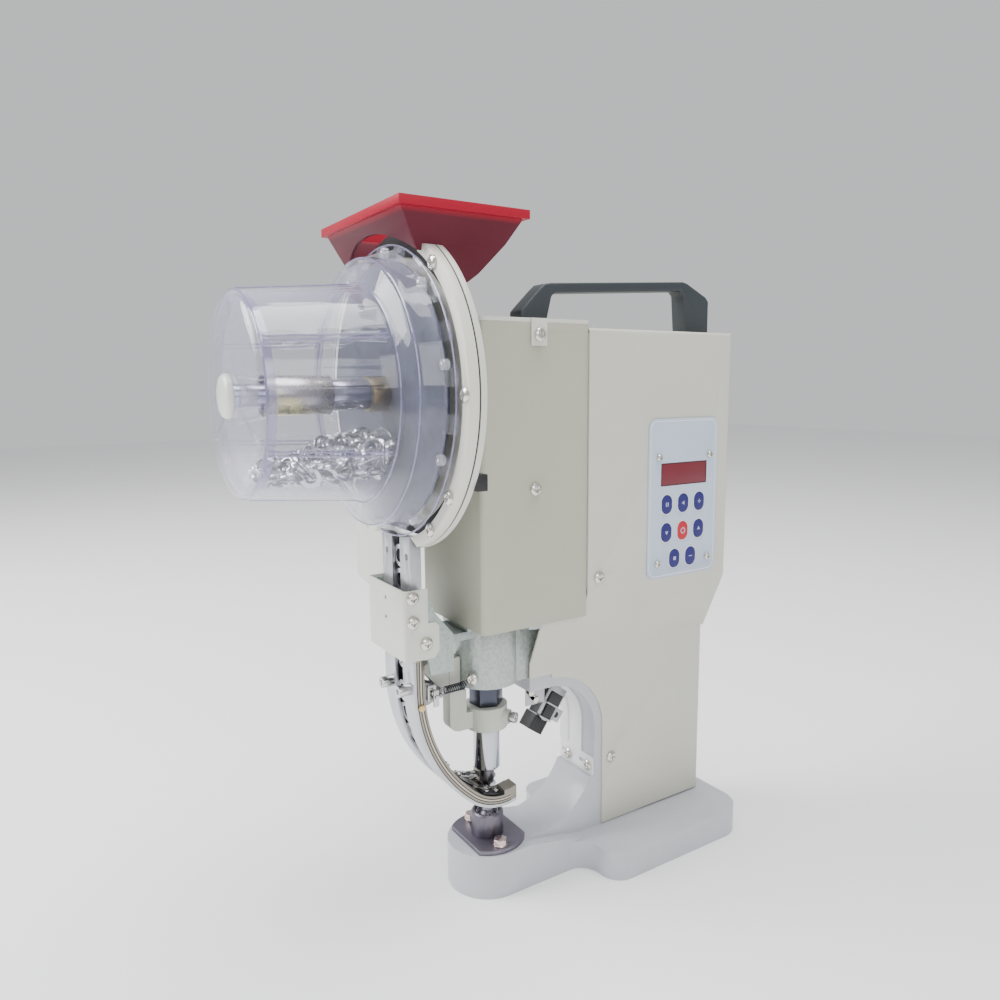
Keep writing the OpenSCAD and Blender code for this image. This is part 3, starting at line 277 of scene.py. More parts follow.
finishes = {
    "cover": powderCoat("cover_paint", (0.56, 0.555, 0.485)),
    "headCover": powderCoat("head_cover_paint", (0.41, 0.41, 0.33)),
    "light": powderCoat("light_paint", (0.62, 0.62, 0.565), 0.4),
    "ring": powderCoat("ring_paint", (0.68, 0.67, 0.60), 0.34),
    "arm": powderCoat("arm_paint", (0.50, 0.51, 0.455), 0.36),
    "cast": castEnamel("cast_enamel", (0.47, 0.475, 0.515)),
    "hammer": hammertone("hammertone_paint", (0.39, 0.43, 0.41)),
    "bracket": hammertone("bracket_paint", (0.34, 0.40, 0.375)),
    "handle": mouldedPlastic("handle_plastic", (0.025, 0.032, 0.038), 0.45, 0.6),
    "black": mouldedPlastic("black_plastic", (0.012, 0.012, 0.014), 0.4, 0.5),
    "lead": mouldedPlastic("lead_sheath", (0.012, 0.012, 0.013), 0.55, 0.3),
    "gasket": mouldedPlastic("gasket_rubber", (0.015, 0.015, 0.017), 0.6, 0.6),
    "funnel": redFunnel("funnel_plastic"),
    "film": keypadFilm("keypad_film"),
    "display": mouldedPlastic("display_acrylic", (0.15, 0.01, 0.02), 0.4, 0.05),
    "displayEdge": mouldedPlastic("display_edge", (0.05, 0.006, 0.012), 0.3, 0.1),
    "blueKey": mouldedPlastic("blue_key", (0.012, 0.010, 0.13), 0.5, 0.2),
    "redKey": mouldedPlastic("red_key", (0.46, 0.008, 0.02), 0.5, 0.2),
    "whitePrint": mouldedPlastic("white_print", (0.82, 0.83, 0.86), 0.4, 0.1),
    "keyPrint": mouldedPlastic("key_print", (0.42, 0.42, 0.62), 0.4, 0.1),
    "clear": clearPlastic("clear_drum", (0.62, 0.61, 0.80), 0.02, 0.5),
    # darker, denser lavender for the drum's edges and ribs: painted edge shading of the clear wall
    "clearEdgeShade": clearPlastic("clear_drum_edge_shade", (0.27, 0.25, 0.45), 0.42, 0.45),
    "clearLug": clearPlastic("clear_drum_lug", (0.70, 0.72, 0.82), 0.25, 0.6),
    "disc": darkDisc("disc_plastic"),
    "cap": mouldedPlastic("cap_plastic", (0.72, 0.72, 0.68), 0.28, 0.2, 0.3),
    "zinc": yellowZinc("yellow_zinc"),
    "chrome": plating("shaft_chrome", (0.38, 0.38, 0.47), 0.08),
    "holder": plating("holder_chrome", (0.52, 0.53, 0.58), 0.1),
    "brass": steel("collar_brass", (0.24, 0.18, 0.08), 0.24, "Y"),
    "screw": plating("screw_plating", (0.70, 0.68, 0.62), 0.14),
    "socket": plating("socket_screw", (0.58, 0.57, 0.56), 0.16),
    "eyelet": plating("eyelet_plating", (0.60, 0.61, 0.64), 0.07),
    "spindle": steel("spindle_steel", (0.52, 0.53, 0.56), 0.2),
    "nut": steel("black_oxide", (0.07, 0.075, 0.10), 0.26, "Z", 0.4),
    "punch": steel("punch_steel", (0.16, 0.16, 0.18), 0.22, "Z", 0.5),
    "die": steel("die_steel", (0.17, 0.155, 0.19), 0.33, "Z", 0.6),
    "plate": steel("die_plate_steel", (0.20, 0.185, 0.225), 0.4, "X", 0.6),
    "strip": steel("bright_strip", (0.56, 0.57, 0.60), 0.36, "X", 0.4),
    "bracketSteel": steel("bracket_steel", (0.42, 0.42, 0.44), 0.26, "Z", 0.5),
    "boltHead": plating("bolt_head", (0.62, 0.50, 0.47), 0.16),
    "grooveLine": mouldedPlastic("groove_line", (0.045, 0.035, 0.028), 0.5, 0.3),
    "paleSpacer": steel("pale_spacer", (0.56, 0.52, 0.44), 0.36, "X", 0.5),
    "brassScrew": plating("brass_screw", (0.62, 0.46, 0.22), 0.2),
    "lampStrip": steel("white_strip", (0.80, 0.80, 0.81), 0.42, "Z", 0.3, 0.35),
    "chute": steel("chute_steel", (0.30, 0.275, 0.235), 0.34, "X", 0.5),
    "darkSteel": steel("dark_steel", (0.045, 0.045, 0.055), 0.28, "X", 0.4),
    "greySteel": steel("grey_steel", (0.30, 0.30, 0.31), 0.3, "X", 0.4),
    "motor": mouldedPlastic("motor_paint", (0.05, 0.052, 0.058), 0.4, 0.5),
    "board": mouldedPlastic("board_resin", (0.02, 0.11, 0.05), 0.3, 0.2),
}
print("finishes made:", len(finishes))


sharpAngle = 35


def finishPiece(name, bm, finish, body, replaced=(), smooth=sharpAngle):
    mesh = bpy.data.meshes.new(name)
    bm.to_mesh(mesh)
    bm.free()
    mesh.shade_smooth()
    mesh.set_sharp_from_angle(angle=math.radians(smooth))
    piece = bpy.data.objects.new(name, mesh)
    bpy.context.scene.collection.objects.link(piece)
    mesh.materials.append(finishes[finish])
    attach(piece, body)
    if replaced:
        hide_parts(*replaced)
    return piece


def nodeMesh(node):
    # a merged copy of a CAD node, its flat faces joined
    bm = bmesh.new()
    bm.from_mesh(frame["nodes"][node].data)
    bmesh.ops.remove_doubles(bm, verts=bm.verts, dist=2e-6)
    bmesh.ops.dissolve_degenerate(bm, dist=1e-6, edges=bm.edges)
    bmesh.ops.dissolve_limit(bm, angle_limit=math.radians(0.4), verts=bm.verts, edges=bm.edges,
                             use_dissolve_boundaries=False, delimit=set())
    return bm


def sharpEdges(bm, degrees):
    limit = math.radians(degrees)
    return [e for e in bm.edges if len(e.link_faces) == 2 and e.calc_face_angle(0) > limit]


def bodyOf(node):
    for body, members in frame["record"]["behaviour"]["bodies"].items():
        if node in members:
            return body


def dress(node, finish, radius=0.0, segments=2):
    # a softened copy of a CAD node with its edges rounded
    bm = nodeMesh(node)
    if radius:
        bmesh.ops.bevel(bm, geom=sharpEdges(bm, sharpAngle), offset=radius, offset_type="OFFSET",
                        segments=segments, profile=0.5, affect="EDGES", clamp_overlap=True, material=-1,
                        loop_slide=True)
    words = node.split("_")
    name = words[0] + "".join(word.capitalize() for word in words[1:])
    return finishPiece(name, bm, finish, bodyOf(node), (node,))


def paintNode(node, finish):
    mesh = frame["nodes"][node].data
    mesh.materials.clear()
    mesh.materials.append(finishes[finish])


def at(x, y, z):
    # a point given in millimetres
    return Vector((x, y, z)) * mm


def turnMatrix(origin, zAxis):
    # frame at origin whose Z looks along zAxis
    rotation = Vector(zAxis).normalized().to_track_quat("Z", "Y").to_matrix().to_4x4()
    return Matrix.Translation(Vector(origin)) @ rotation


def softenEdges(bm, edges, edge):
    bmesh.ops.bevel(bm, geom=edges, offset=edge * mm, offset_type="OFFSET", segments=2, profile=0.5,
                    affect="EDGES", clamp_overlap=True, material=-1)


# the helpers below take millimetres; their matrices are in metres
def addDisc(bm, matrix, radius, height, sides=32, edge=0.0):
    made = bmesh.ops.create_cone(bm, cap_ends=True, segments=sides, radius1=radius * mm, radius2=radius * mm,
                                 depth=height * mm, matrix=matrix @ Matrix.Translation(at(0, 0, height / 2)))
    if edge:
        around = {e for v in made["verts"] for e in v.link_edges}
        softenEdges(bm, [e for e in around if e.calc_face_angle(0) > 0.9], edge)


def addBlock(bm, low, high, edge=0.0, matrix=Matrix.Identity(4)):
    low, high = at(*low), at(*high)
    inner = Matrix.Translation((high + low) / 2) @ Matrix.Diagonal((*(high - low), 1))
    made = bmesh.ops.create_cube(bm, size=1, matrix=matrix @ inner)
    if edge:
        softenEdges(bm, list({e for v in made["verts"] for e in v.link_edges}), edge)


def addParts(bm, parts, matrix=Matrix.Identity(4)):
    # parts are ("block", low, high, edge) or ("disc", place, axis, radius, height, sides, edge)
    for kind, *values in parts:
        if kind == "block":
            addBlock(bm, *values, matrix)
        else:
            place, axis, *sizes = values
            addDisc(bm, matrix @ turnMatrix(at(*place), axis), *sizes)


def makeParts(name, parts, finish, body, matrix=Matrix.Identity(4)):
    bm = bmesh.new()
    addParts(bm, parts, matrix)
    return finishPiece(name, bm, finish, body)


def ringOutline(radius, height, wire, sides=8):
    turns = [k * 2 * math.pi / sides for k in range(sides)]
    return [(radius + wire * math.cos(turn), height + wire * math.sin(turn)) for turn in turns]


def spinProfile(bm, points, matrix, steps):
    # points are (radius, height) pairs of a closed outline
    verts = [bm.verts.new(matrix @ at(r, 0, h)) for r, h in points]
    edges = [bm.edges.new((a, b)) for a, b in zip(verts, verts[1:] + verts[:1])]
    axis = (matrix.to_3x3() @ Vector((0, 0, 1))).normalized()
    bmesh.ops.spin(bm, geom=verts + edges, cent=matrix.translation, axis=axis, angle=2 * math.pi, steps=steps,
                   use_merge=True)
    bmesh.ops.remove_doubles(bm, verts=bm.verts, dist=1e-7)


# node: finish, radius of its softened edges, segments
dressing = {
    "base_casting": ("cast", 0.0016, 3), "press_head": ("hammer", 0.001, 2),
    "rear_cover": ("cover", 0.0005, 2), "head_cover": ("headCover", 0.0005, 2),
    "top_plate": ("light", 0.0005, 2), "carry_handle": ("handle", 0.0014, 3),
    "control_panel": ("film", 0.0002, 2), "display_window": ("display", 0.0002, 2),
    "pan_screws": ("screw", 0.00018, 2), "ring_right": ("ring", 0.0006, 2),
    "ring_left": ("ring", 0.0006, 2), "ring_gasket": ("gasket", 0, 1),
    "hopper_back_plate": ("light", 0.0006, 2), "hopper_sensor": ("black", 0.0004, 2),
    "fill_funnel": ("funnel", 0.0008, 2), "upper_chute": ("strip", 0.0003, 2),
    "chute_guard": ("light", 0.0005, 2), "chute_bracket": ("bracket", 0.0008, 2),
    "guide_nut": ("nut", 0.0004, 2), "die_plate": ("plate", 0.0004, 2),
    "die_bolts": ("boltHead", 0.0003, 2), "lower_die": ("die", 0.0003, 2),
    "lamp_strip": ("lampStrip", 0.0003, 2), "lamp_bracket": ("bracketSteel", 0.0003, 2),
    "lamp_lead": ("lead", 0, 1), "lamp_body": ("black", 0.0005, 2), "power_inlet": ("black", 0.0005, 2),
    "hopper_drum": ("clear", 0.0, 1), "feed_disc": ("disc", 0.0004, 2), "drum_shaft": ("chrome", 0.0003, 2),
    "shaft_sleeve": ("zinc", 0.0003, 2), "shaft_collar": ("brass", 0.0004, 2),
    "drum_cap": ("cap", 0.0005, 2), "ram_spindle": ("spindle", 0.0002, 2),
    "punch_holder": ("holder", 0.0003, 2), "ram_arm": ("arm", 0.0013, 3),
    "clamp_screw": ("socket", 0.0003, 2), "punch": ("punch", 0.0002, 2), "chute_body": ("chute", 0.0003, 2),
    "chute_strips": ("strip", 0.0003, 2), "chute_screws": ("socket", 0.0002, 2),
    "chute_gate": ("darkSteel", 0.0002, 1), "chute_lever": ("greySteel", 0.0003, 2),
    "tension_spring": ("nut", 0, 1),
}
for node, (finish, radius, segments) in dressing.items():
    dress(node, finish, radius, segments)
print("pieces dressed:", len(dressing))

plainNodes = {"control_board": "board", "hopper_motor": "motor", "drive_motor": "motor",
              "return_spring": "spindle", "cam_roller": "spindle", "cam_shaft": "greySteel"}
for node, finish in plainNodes.items():
    paintNode(node, finish)
for number in range(1, 9):
    dress("key_%d" % number, "redKey" if number == 5 else "blueKey", 0.0003, 2)


# one eyelet as (radius, height) pairs, and the heap of them in the lower part of the drum
eyeletShape = {"outline": [(5.2, 0), (8.4, 0), (8.6, 0.25), (8.5, 0.6),
                           (6.6, 1.0), (6.1, 1.6), (6.0, 3.4), (5.2, 3.4)],
               "sides": 28, "rim": 8.6, "half": 1.7}
heap = {"count": 150, "tries": 60000, "seed": 11, "radius": 62.5, "margin": 6, "halfWidth": 58, "front": -180,
        "rear": -96, "gap": 8.2, "frontTop": -52, "rearTop": -26, "sag": 0.12, "lean": 0.6, "reach": 64,
        "smooth": 30}
queue = {"y": -74.8, "heights": (250, 268.5, 287)}


def eyeletMesh():
    bm = bmesh.new()
    spinProfile(bm, eyeletShape["outline"], Matrix.Identity(4), eyeletShape["sides"])
    bmesh.ops.recalc_face_normals(bm, faces=bm.faces)
    mesh = bpy.data.meshes.new("eyeletShape")
    bm.to_mesh(mesh)
    bm.free()
    return mesh


def addCopy(bm, mesh, matrix):
    twin = mesh.copy()
    twin.transform(matrix)
    bm.from_mesh(twin)
    bpy.data.meshes.remove(twin)


def heapPlaces(spec):
    # the heap rises to the rear
    chance = random.Random(spec["seed"])
    places = []
    tries = 0
    rise = (spec["rearTop"] - spec["frontTop"]) / (spec["rear"] - spec["front"])
    while len(places) < spec["count"] and tries < spec["tries"]:
        tries += 1
        y = chance.uniform(spec["front"], spec["rear"])
        ceiling = spec["frontTop"] + (y - spec["front"]) * rise
        z = chance.uniform(-spec["radius"], ceiling)
        x = chance.uniform(-spec["halfWidth"], spec["halfWidth"])
        if math.hypot(x, z) > spec["radius"] - spec["margin"] or z > ceiling - abs(x) * spec["sag"]:
            continue
        spot = Vector((x, y, z))
        if all((spot - other).length > spec["gap"] for other in places):
            places.append(spot)
    lean = spec["lean"]
    return [(spot, chance.uniform(0, 2 * math.pi), chance.gauss(0, lean), chance.gauss(0, lean))
            for spot in places]


def makeHeap(spec):
    bm = bmesh.new()
    shape = eyeletMesh()
    turns = [k * math.pi / 4 for k in range(8)]
    rim = [at(eyeletShape["rim"] * math.cos(turn), eyeletShape["rim"] * math.sin(turn), 0) for turn in turns]
    limit = spec["reach"] * mm
    for spot, spin, leanX, leanY in heapPlaces(spec):
        lean = Matrix.Rotation(spin, 4, "Z") @ Matrix.Rotation(leanX, 4, "X") @ Matrix.Rotation(leanY, 4, "Y")
        place = Matrix.Translation(at(*spot) + Vector((0, 0, hopperZ)))
        matrix = place @ lean @ Matrix.Translation(at(0, 0, -eyeletShape["half"]))
        reach = max(math.hypot((matrix @ corner).x, (matrix @ corner).z - hopperZ) for corner in rim)
        if reach > limit:
            inward = Vector((-spot.x, 0, -spot.z)).normalized() * (reach - limit)
            matrix = Matrix.Translation(inward) @ matrix
        addCopy(bm, shape, matrix)
    for z in queue["heights"]:
        addCopy(bm, shape, turnMatrix(at(0, queue["y"], z), (0, 1, 0)))
    return finishPiece("looseEyelets", bm, "eyelet", "frame",
                       ("loose_eyelets",), spec["smooth"])


makeHeap(heap)
dress("chute_eyelets", "eyelet", 0.0002, 1)
print("eyelets heaped")


# rings, ribs and lugs of the clear drum; rings are (radius, y). The corner band, edge rings and ribs lie on
# real edges and ribs of the drum; their darker, denser lavender is painted edge shading of the clear wall.
drumTrim = {
    "cornerBand": [(63.4, -187.6), (64.9, -186.6), (65.2, -181.5), (64.3, -181.5)],
    "edgeRings": [(76.6, -106.3), (93.2, -101.4), (103.0, -81.6), (68.0, -188.2)],
    "edgeWire": 0.7, "ringSteps": 96,
    "ribs": 6, "ribTurn": 30, "ribFront": (68.5, -186.5), "ribRear": (75.2, -108.5), "ribSpread": 1.5,
    "ribRadius": 0.75, "ribSides": 8,
    "lugs": 10, "lugTurn": 11, "lugRing": 97.5,
    "lug": {"y": -87.6, "radius": 3.6, "height": 4.4, "sides": 20, "edge": 0.5},
    "pin": {"y": -88.4, "radius": 1.3, "height": 1.2, "sides": 14, "edge": 0.3},
    "shaftRings": [(13.55, -171.2), (13.55, -126.2), (12.7, -96.8)], "shaftWire": 0.25, "shaftSteps": 64,
}
alongY = turnMatrix((0, 0, hopperZ), (0, 1, 0))


def onDrum(radius, y, degrees):
    angle = math.radians(degrees)
    return at(radius * math.cos(angle), y, radius * math.sin(angle)) + Vector((0, 0, hopperZ))


def makeRings(name, rings, wire, steps, finish):
    bm = bmesh.new()
    for radius, y in rings:
        spinProfile(bm, ringOutline(radius, y, wire), alongY, steps)
    bmesh.ops.recalc_face_normals(bm, faces=bm.faces)
    return finishPiece(name, bm, finish, "drum")


def makeDrumTrim(spec):
    # the corner band, edge rings and ribs take the darker edge finish: painted edge shading of the clear wall
    bm = bmesh.new()
    spinProfile(bm, spec["cornerBand"], alongY, spec["ringSteps"])
    bmesh.ops.recalc_face_normals(bm, faces=bm.faces)
    finishPiece("drumCornerShade", bm, "clearEdgeShade", "drum")

    bm = bmesh.new()
    for radius, y in spec["edgeRings"]:
        spinProfile(bm, ringOutline(radius, y, spec["edgeWire"]), alongY, spec["ringSteps"])
    for number in range(spec["ribs"]):
        degrees = 360 / spec["ribs"] * number + spec["ribTurn"]
        front = onDrum(*spec["ribFront"], degrees)
        rear = onDrum(*spec["ribRear"], degrees)
        out = (onDrum(1000, 0, degrees) - Vector((0, 0, hopperZ))).normalized()
        for side in (-spec["ribSpread"], spec["ribSpread"]):
            across = out.cross(Vector((0, 1, 0))) * side * mm
            addDisc(bm, turnMatrix(front + across, rear - front), spec["ribRadius"],
                    (rear - front).length / mm, spec["ribSides"])
    bmesh.ops.recalc_face_normals(bm, faces=bm.faces)
    finishPiece("drumEdgeShade", bm, "clearEdgeShade", "drum")

    for name, part, finish in (("drumLugs", spec["lug"], "clearLug"), ("drumPins", spec["pin"], "screw")):
        bm = bmesh.new()
        for number in range(spec["lugs"]):
            place = onDrum(spec["lugRing"], part["y"], 360 / spec["lugs"] * number + spec["lugTurn"])
            addDisc(bm, turnMatrix(place, (0, 1, 0)), part["radius"], part["height"],
                    part["sides"], part["edge"])
        finishPiece(name, bm, finish, "drum")
    makeRings("shaftRings", spec["shaftRings"], spec["shaftWire"], spec["shaftSteps"], "nut")


makeDrumTrim(drumTrim)
print("drum trim made")


# ribbons that follow the curve of the chute; depth is measured in from its front face
chuteCurve = {"frontY": -77.5, "bendZ": 188.8, "firstRadius": 135, "bendAngle": 50, "secondRadius": 48,
              "firstStep": 2, "secondStep": 3}
chuteTrim = {
    "linerDepths": (6.2, 6.45), "linerHalf": 9.9, "linerTop": 235.5, "linerAngle": 88,
    "upperLiner": (303, 237.6),
    "wallDepths": (2.6, 6.4), "wallStarts": (-9.97, 9.85), "wallWidth": 0.12,
    "sideTop": 210, "sideAngle": 100,
    "seamDepths": (2.7, 4.9, 6.9), "seamHalf": 0.4, "seamStarts": (-25.06, 24.94), "seamWidth": 0.12,
    "spacerDepths": (5.4, 6.4), "spacerStarts": (-25.05, 24.95), "spacerWidth": 0.1,
    "sideScrew": [("disc", (25.0, -71.5, 174.5), (1, 0, 0), 2.7, 1.7, 28, 0.4),
                  ("block", (26.6, -73.6, 174.1), (26.82, -69.4, 174.9), 0)],
    "finger": {"inner": 8.2, "outer": 13.6, "y": (-12, -3.4), "z": (83.4, 86.6), "edge": 0.5},
    "nose": {"inset": 1, "y": (-20, -9), "z": (85.2, 86.4), "edge": 0.3, "pivot": (0, -9, 85.8), "tilt": -22},
    "stud": {"x": 10.9, "y": -8, "z": 86.5, "radius": 1.7, "height": 1.5, "sides": 20, "edge": 0.3},
    "leaf": {"sides": ((13.5, 23), (-23, -13.5)), "depths": (9.5, 10.4), "angle": 95, "rows": 13,
             "heads": (3, 8)},
    "leafHead": {"depth": 10.3, "radius": 2.3, "height": 1.7, "sides": 24, "edge": 0.4},
}


def straightStations(top, low):
    # stations are (y, z) of the front face and its inward direction
    return [(chuteCurve["frontY"], z, 1.0, 0.0) for z in (top, low)]


def curvedStations(top, lastAngle):
    c = chuteCurve
    bend = math.radians(c["bendAngle"])
    first = (c["frontY"] + c["firstRadius"], c["bendZ"])
    shift = c["firstRadius"] - c["secondRadius"]
    second = (first[0] - shift * math.cos(bend), first[1] - shift * math.sin(bend))
    arcs = [(first, c["firstRadius"], range(0, c["bendAngle"], c["firstStep"])),
            (second, c["secondRadius"], range(c["bendAngle"], lastAngle + 1, c["secondStep"]))]
    stations = [(c["frontY"], top, 1.0, 0.0)]
    for centre, radius, angles in arcs:
        for degrees in angles:
            cos, sin = math.cos(math.radians(degrees)), math.sin(math.radians(degrees))
            stations.append((centre[0] - radius * cos, centre[1] - radius * sin, cos, sin))
    return stations


def addChuteLayer(bm, depths, across, stations):
    # one ribbon of quads between two depths, pushed out sideways
    rows = [[bm.verts.new(at(across[0], y + dy * d, z + dz * d)) for d in depths]
            for y, z, dy, dz in stations]
    faces = [bm.faces.new((a[0], a[1], b[1], b[0])) for a, b in zip(rows, rows[1:])]
    grown = bmesh.ops.extrude_face_region(bm, geom=faces, use_keep_orig=True)["geom"]
    moved = [v for v in grown if isinstance(v, bmesh.types.BMVert)]
    bmesh.ops.translate(bm, vec=at(across[1] - across[0], 0, 0), verts=moved)
    bmesh.ops.recalc_face_normals(bm, faces=bm.faces)


def addTipFingers(bm, spec):
    finger, nose, stud = spec["finger"], spec["nose"], spec["stud"]
    pivot = Matrix.Translation(at(*nose["pivot"]))
    tilt = pivot @ Matrix.Rotation(math.radians(nose["tilt"]), 4, "X") @ pivot.inverted()
    for side in (-1, 1):
        low, high = sorted((side * finger["inner"], side * finger["outer"]))
        addBlock(bm, (low, finger["y"][0], finger["z"][0]), (high, finger["y"][1], finger["z"][1]),
                 finger["edge"])
        addBlock(bm, (low + nose["inset"], nose["y"][0], nose["z"][0]),
                 (high - nose["inset"], nose["y"][1], nose["z"][1]), nose["edge"], tilt)
        addDisc(bm, turnMatrix(at(side * stud["x"], stud["y"], stud["z"]), (0, 0, 1)), stud["radius"],
                stud["height"], stud["sides"], stud["edge"])


def makeTipLeaves(spec, head):
    plates, heads = bmesh.new(), bmesh.new()
    stations = curvedStations(chuteTrim["sideTop"], spec["angle"])[-spec["rows"]:]
    for low, high in spec["sides"]:
        addChuteLayer(plates, spec["depths"], (low, high), stations)
        for y, z, dy, dz in [stations[row] for row in spec["heads"]]:
            place = at((low + high) / 2, y + dy * head["depth"], z + dz * head["depth"])
            addDisc(heads, turnMatrix(place, (0, dy, dz)), head["radius"], head["height"],
                    head["sides"], head["edge"])
    finishPiece("tipLeaves", plates, "darkSteel", "chute")
    finishPiece("tipLeafScrews", heads, "socket", "chute")


def makeChuteTrim(spec):
    channel = curvedStations(spec["linerTop"], spec["linerAngle"])
    side = curvedStations(spec["sideTop"], spec["sideAngle"])
    liner = (-spec["linerHalf"], spec["linerHalf"])
    bm = bmesh.new()
    addChuteLayer(bm, spec["linerDepths"], liner, channel)
    for x in spec["wallStarts"]:
        addChuteLayer(bm, spec["wallDepths"], (x, x + spec["wallWidth"]), channel)
    finishPiece("channelLiner", bm, "black", "chute")
    bm = bmesh.new()
    addChuteLayer(bm, spec["linerDepths"], liner, straightStations(*spec["upperLiner"]))
    finishPiece("upperLiner", bm, "black", "frame")
    bm = bmesh.new()
    for depth in spec["seamDepths"]:
        for x in spec["seamStarts"]:
            depths = (depth - spec["seamHalf"], depth + spec["seamHalf"])
            addChuteLayer(bm, depths, (x, x + spec["seamWidth"]), side)
    finishPiece("chuteSeams", bm, "grooveLine", "chute")
    bm = bmesh.new()
    for x in spec["spacerStarts"]:
        addChuteLayer(bm, spec["spacerDepths"], (x, x + spec["spacerWidth"]), side)
    finishPiece("chuteSpacer", bm, "paleSpacer", "chute")
    makeParts("chuteSideScrew", spec["sideScrew"], "brassScrew", "chute")
    bm = bmesh.new()
    addTipFingers(bm, spec)
    finishPiece("tipFingers", bm, "socket", "chute")
    makeTipLeaves(spec["leaf"], spec["leafHead"])


makeChuteTrim(chuteTrim)
print("chute trim made")


# hooks of the tension spring and the small clevis it pulls on
springTrim = {
    "hooks": [(13.2, -46.4, 178.4), (12.7, -27.6, 179.4)], "hookAxis": (1, 0, 0.25), "ring": 2.7, "wire": 0.5,
    "ringSteps": 28,
    "clevis": [("block", (9.2, -59, 171.5), (11.0, -51.5, 184), 0.5),
               ("block", (14.6, -56.5, 168), (16.0, -51.8, 181.5), 0.4),
               ("disc", (9.0, -55, 179), (1, 0, 0), 2.4, 5.8, 24, 0.4),
               ("disc", (15.6, -54, 176), (1, 0, 0), 2.1, 2.2, 6, 0.3),
               ("disc", (10.6, -53.6, 173.4), (1, 0, 0), 1.4, 5.2, 16, 0.2)],
}


def makeSpringTrim(spec):
    bm = bmesh.new()
    for end in spec["hooks"]:
        spinProfile(bm, ringOutline(spec["ring"], 0, spec["wire"]), turnMatrix(at(*end), spec["hookAxis"]),
                    spec["ringSteps"])
    bmesh.ops.recalc_face_normals(bm, faces=bm.faces)
    finishPiece("springHooks", bm, "greySteel", "frame")
    makeParts("leverClevis", spec["clevis"], "socket", "chute")


makeSpringTrim(springTrim)


# top of the die: ring of small knurls round a bright centre
dieTrim = {
    "knurls": 26, "knurlLow": (10.6, -0.5, 60.4), "knurlHigh": (12.1, 0.5, 60.95), "knurlEdge": 0.15,
    "centre": [("disc", (0, 0, 59.9), (0, 0, 1), 4.0, 0.5, 36, 0.2)],
    "ring": (9.1, 58.4), "ringWire": 0.45, "ringSteps": 48,
}


def makeDieTrim(spec):
    bm = bmesh.new()
    for number in range(spec["knurls"]):
        turn = Matrix.Rotation(2 * math.pi * number / spec["knurls"], 4, "Z")
        addBlock(bm, spec["knurlLow"], spec["knurlHigh"], spec["knurlEdge"], turn)
    finishPiece("dieKnurls", bm, "greySteel", "frame")
    bm = bmesh.new()
    addParts(bm, spec["centre"])
    spinProfile(bm, ringOutline(*spec["ring"], spec["ringWire"]), Matrix.Identity(4), spec["ringSteps"])
    bmesh.ops.recalc_face_normals(bm, faces=bm.faces)
    finishPiece("dieCentre", bm, "holder", "frame")


makeDieTrim(dieTrim)


# clamp, bands and blocks of the lamp in its own leaning frame; the screws of its bracket stand upright
lampTrim = {
    "pivot": (0, 56, 137), "lean": -35.5,
    "clamp": [("block", (4.4, 6.1, -5.6), (6.0, 19.6, 5.6), 0.5),
              ("block", (-7.2, -7.2, -7.6), (7.2, 7.2, -6.8), 0.25),
              ("block", (-7.2, -7.2, 5.4), (7.2, 7.2, 6.2), 0.25),
              ("block", (10.4, -6.8, -7.7), (12.3, 6.8, -6.5), 0.3),
              ("block", (10.4, -6.8, 5.2), (12.3, 6.8, 6.4), 0.3)],
    "front": [("block", (10.4, -6.6, 6.5), (12.0, 6.6, 16.5), 0.5),
              ("block", (10.4, -5.2, -6.4), (12.0, 5.2, 5.1), 0.5)],
    "hole": [("disc", (5.9, 13.6, 0), (1, 0, 0), 2.7, 0.2, 28, 0)],
    "ribs": 5, "ribStart": -6.4, "ribPitch": 2.8, "ribWidth": 1.5, "ribX": (7.45, 7.75), "ribZ": (-20, -8.5),
    "ribEdge": 0.1,
    "screws": ((38, 157), (43, 150)), "headX": 10.1, "headRadius": 2.9, "headHeight": 1.5, "headSides": 26,
    "headEdge": 0.4, "slotX": (11.5, 11.72), "slotHalf": (2, 0.3),
}


def makeLampTrim(spec):
    place = Matrix.Translation(at(*spec["pivot"])) @ Matrix.Rotation(math.radians(spec["lean"]), 4, "X")
    makeParts("lampClamp", spec["clamp"], "strip", "lamp", place)
    makeParts("lampFront", spec["front"], "black", "lamp", place)
    bm = bmesh.new()
    addParts(bm, spec["hole"], place)
    for step in range(spec["ribs"]):
        y = spec["ribStart"] + spec["ribPitch"] * step
        addBlock(bm, (spec["ribX"][0], y, spec["ribZ"][0]),
                 (spec["ribX"][1], y + spec["ribWidth"], spec["ribZ"][1]), spec["ribEdge"], place)
    finishPiece("lampRibs", bm, "black", "lamp")
    bm = bmesh.new()
    halfY, halfZ = spec["slotHalf"]
    for y, z in spec["screws"]:
        addDisc(bm, turnMatrix(at(spec["headX"], y, z), (1, 0, 0)), spec["headRadius"], spec["headHeight"],
                spec["headSides"], spec["headEdge"])
        addBlock(bm, (spec["slotX"][0], y - halfY, z - halfZ), (spec["slotX"][1], y + halfY, z + halfZ))
    finishPiece("bracketScrews", bm, "screw", "frame")


makeLampTrim(lampTrim)
print("press and lamp trim made")


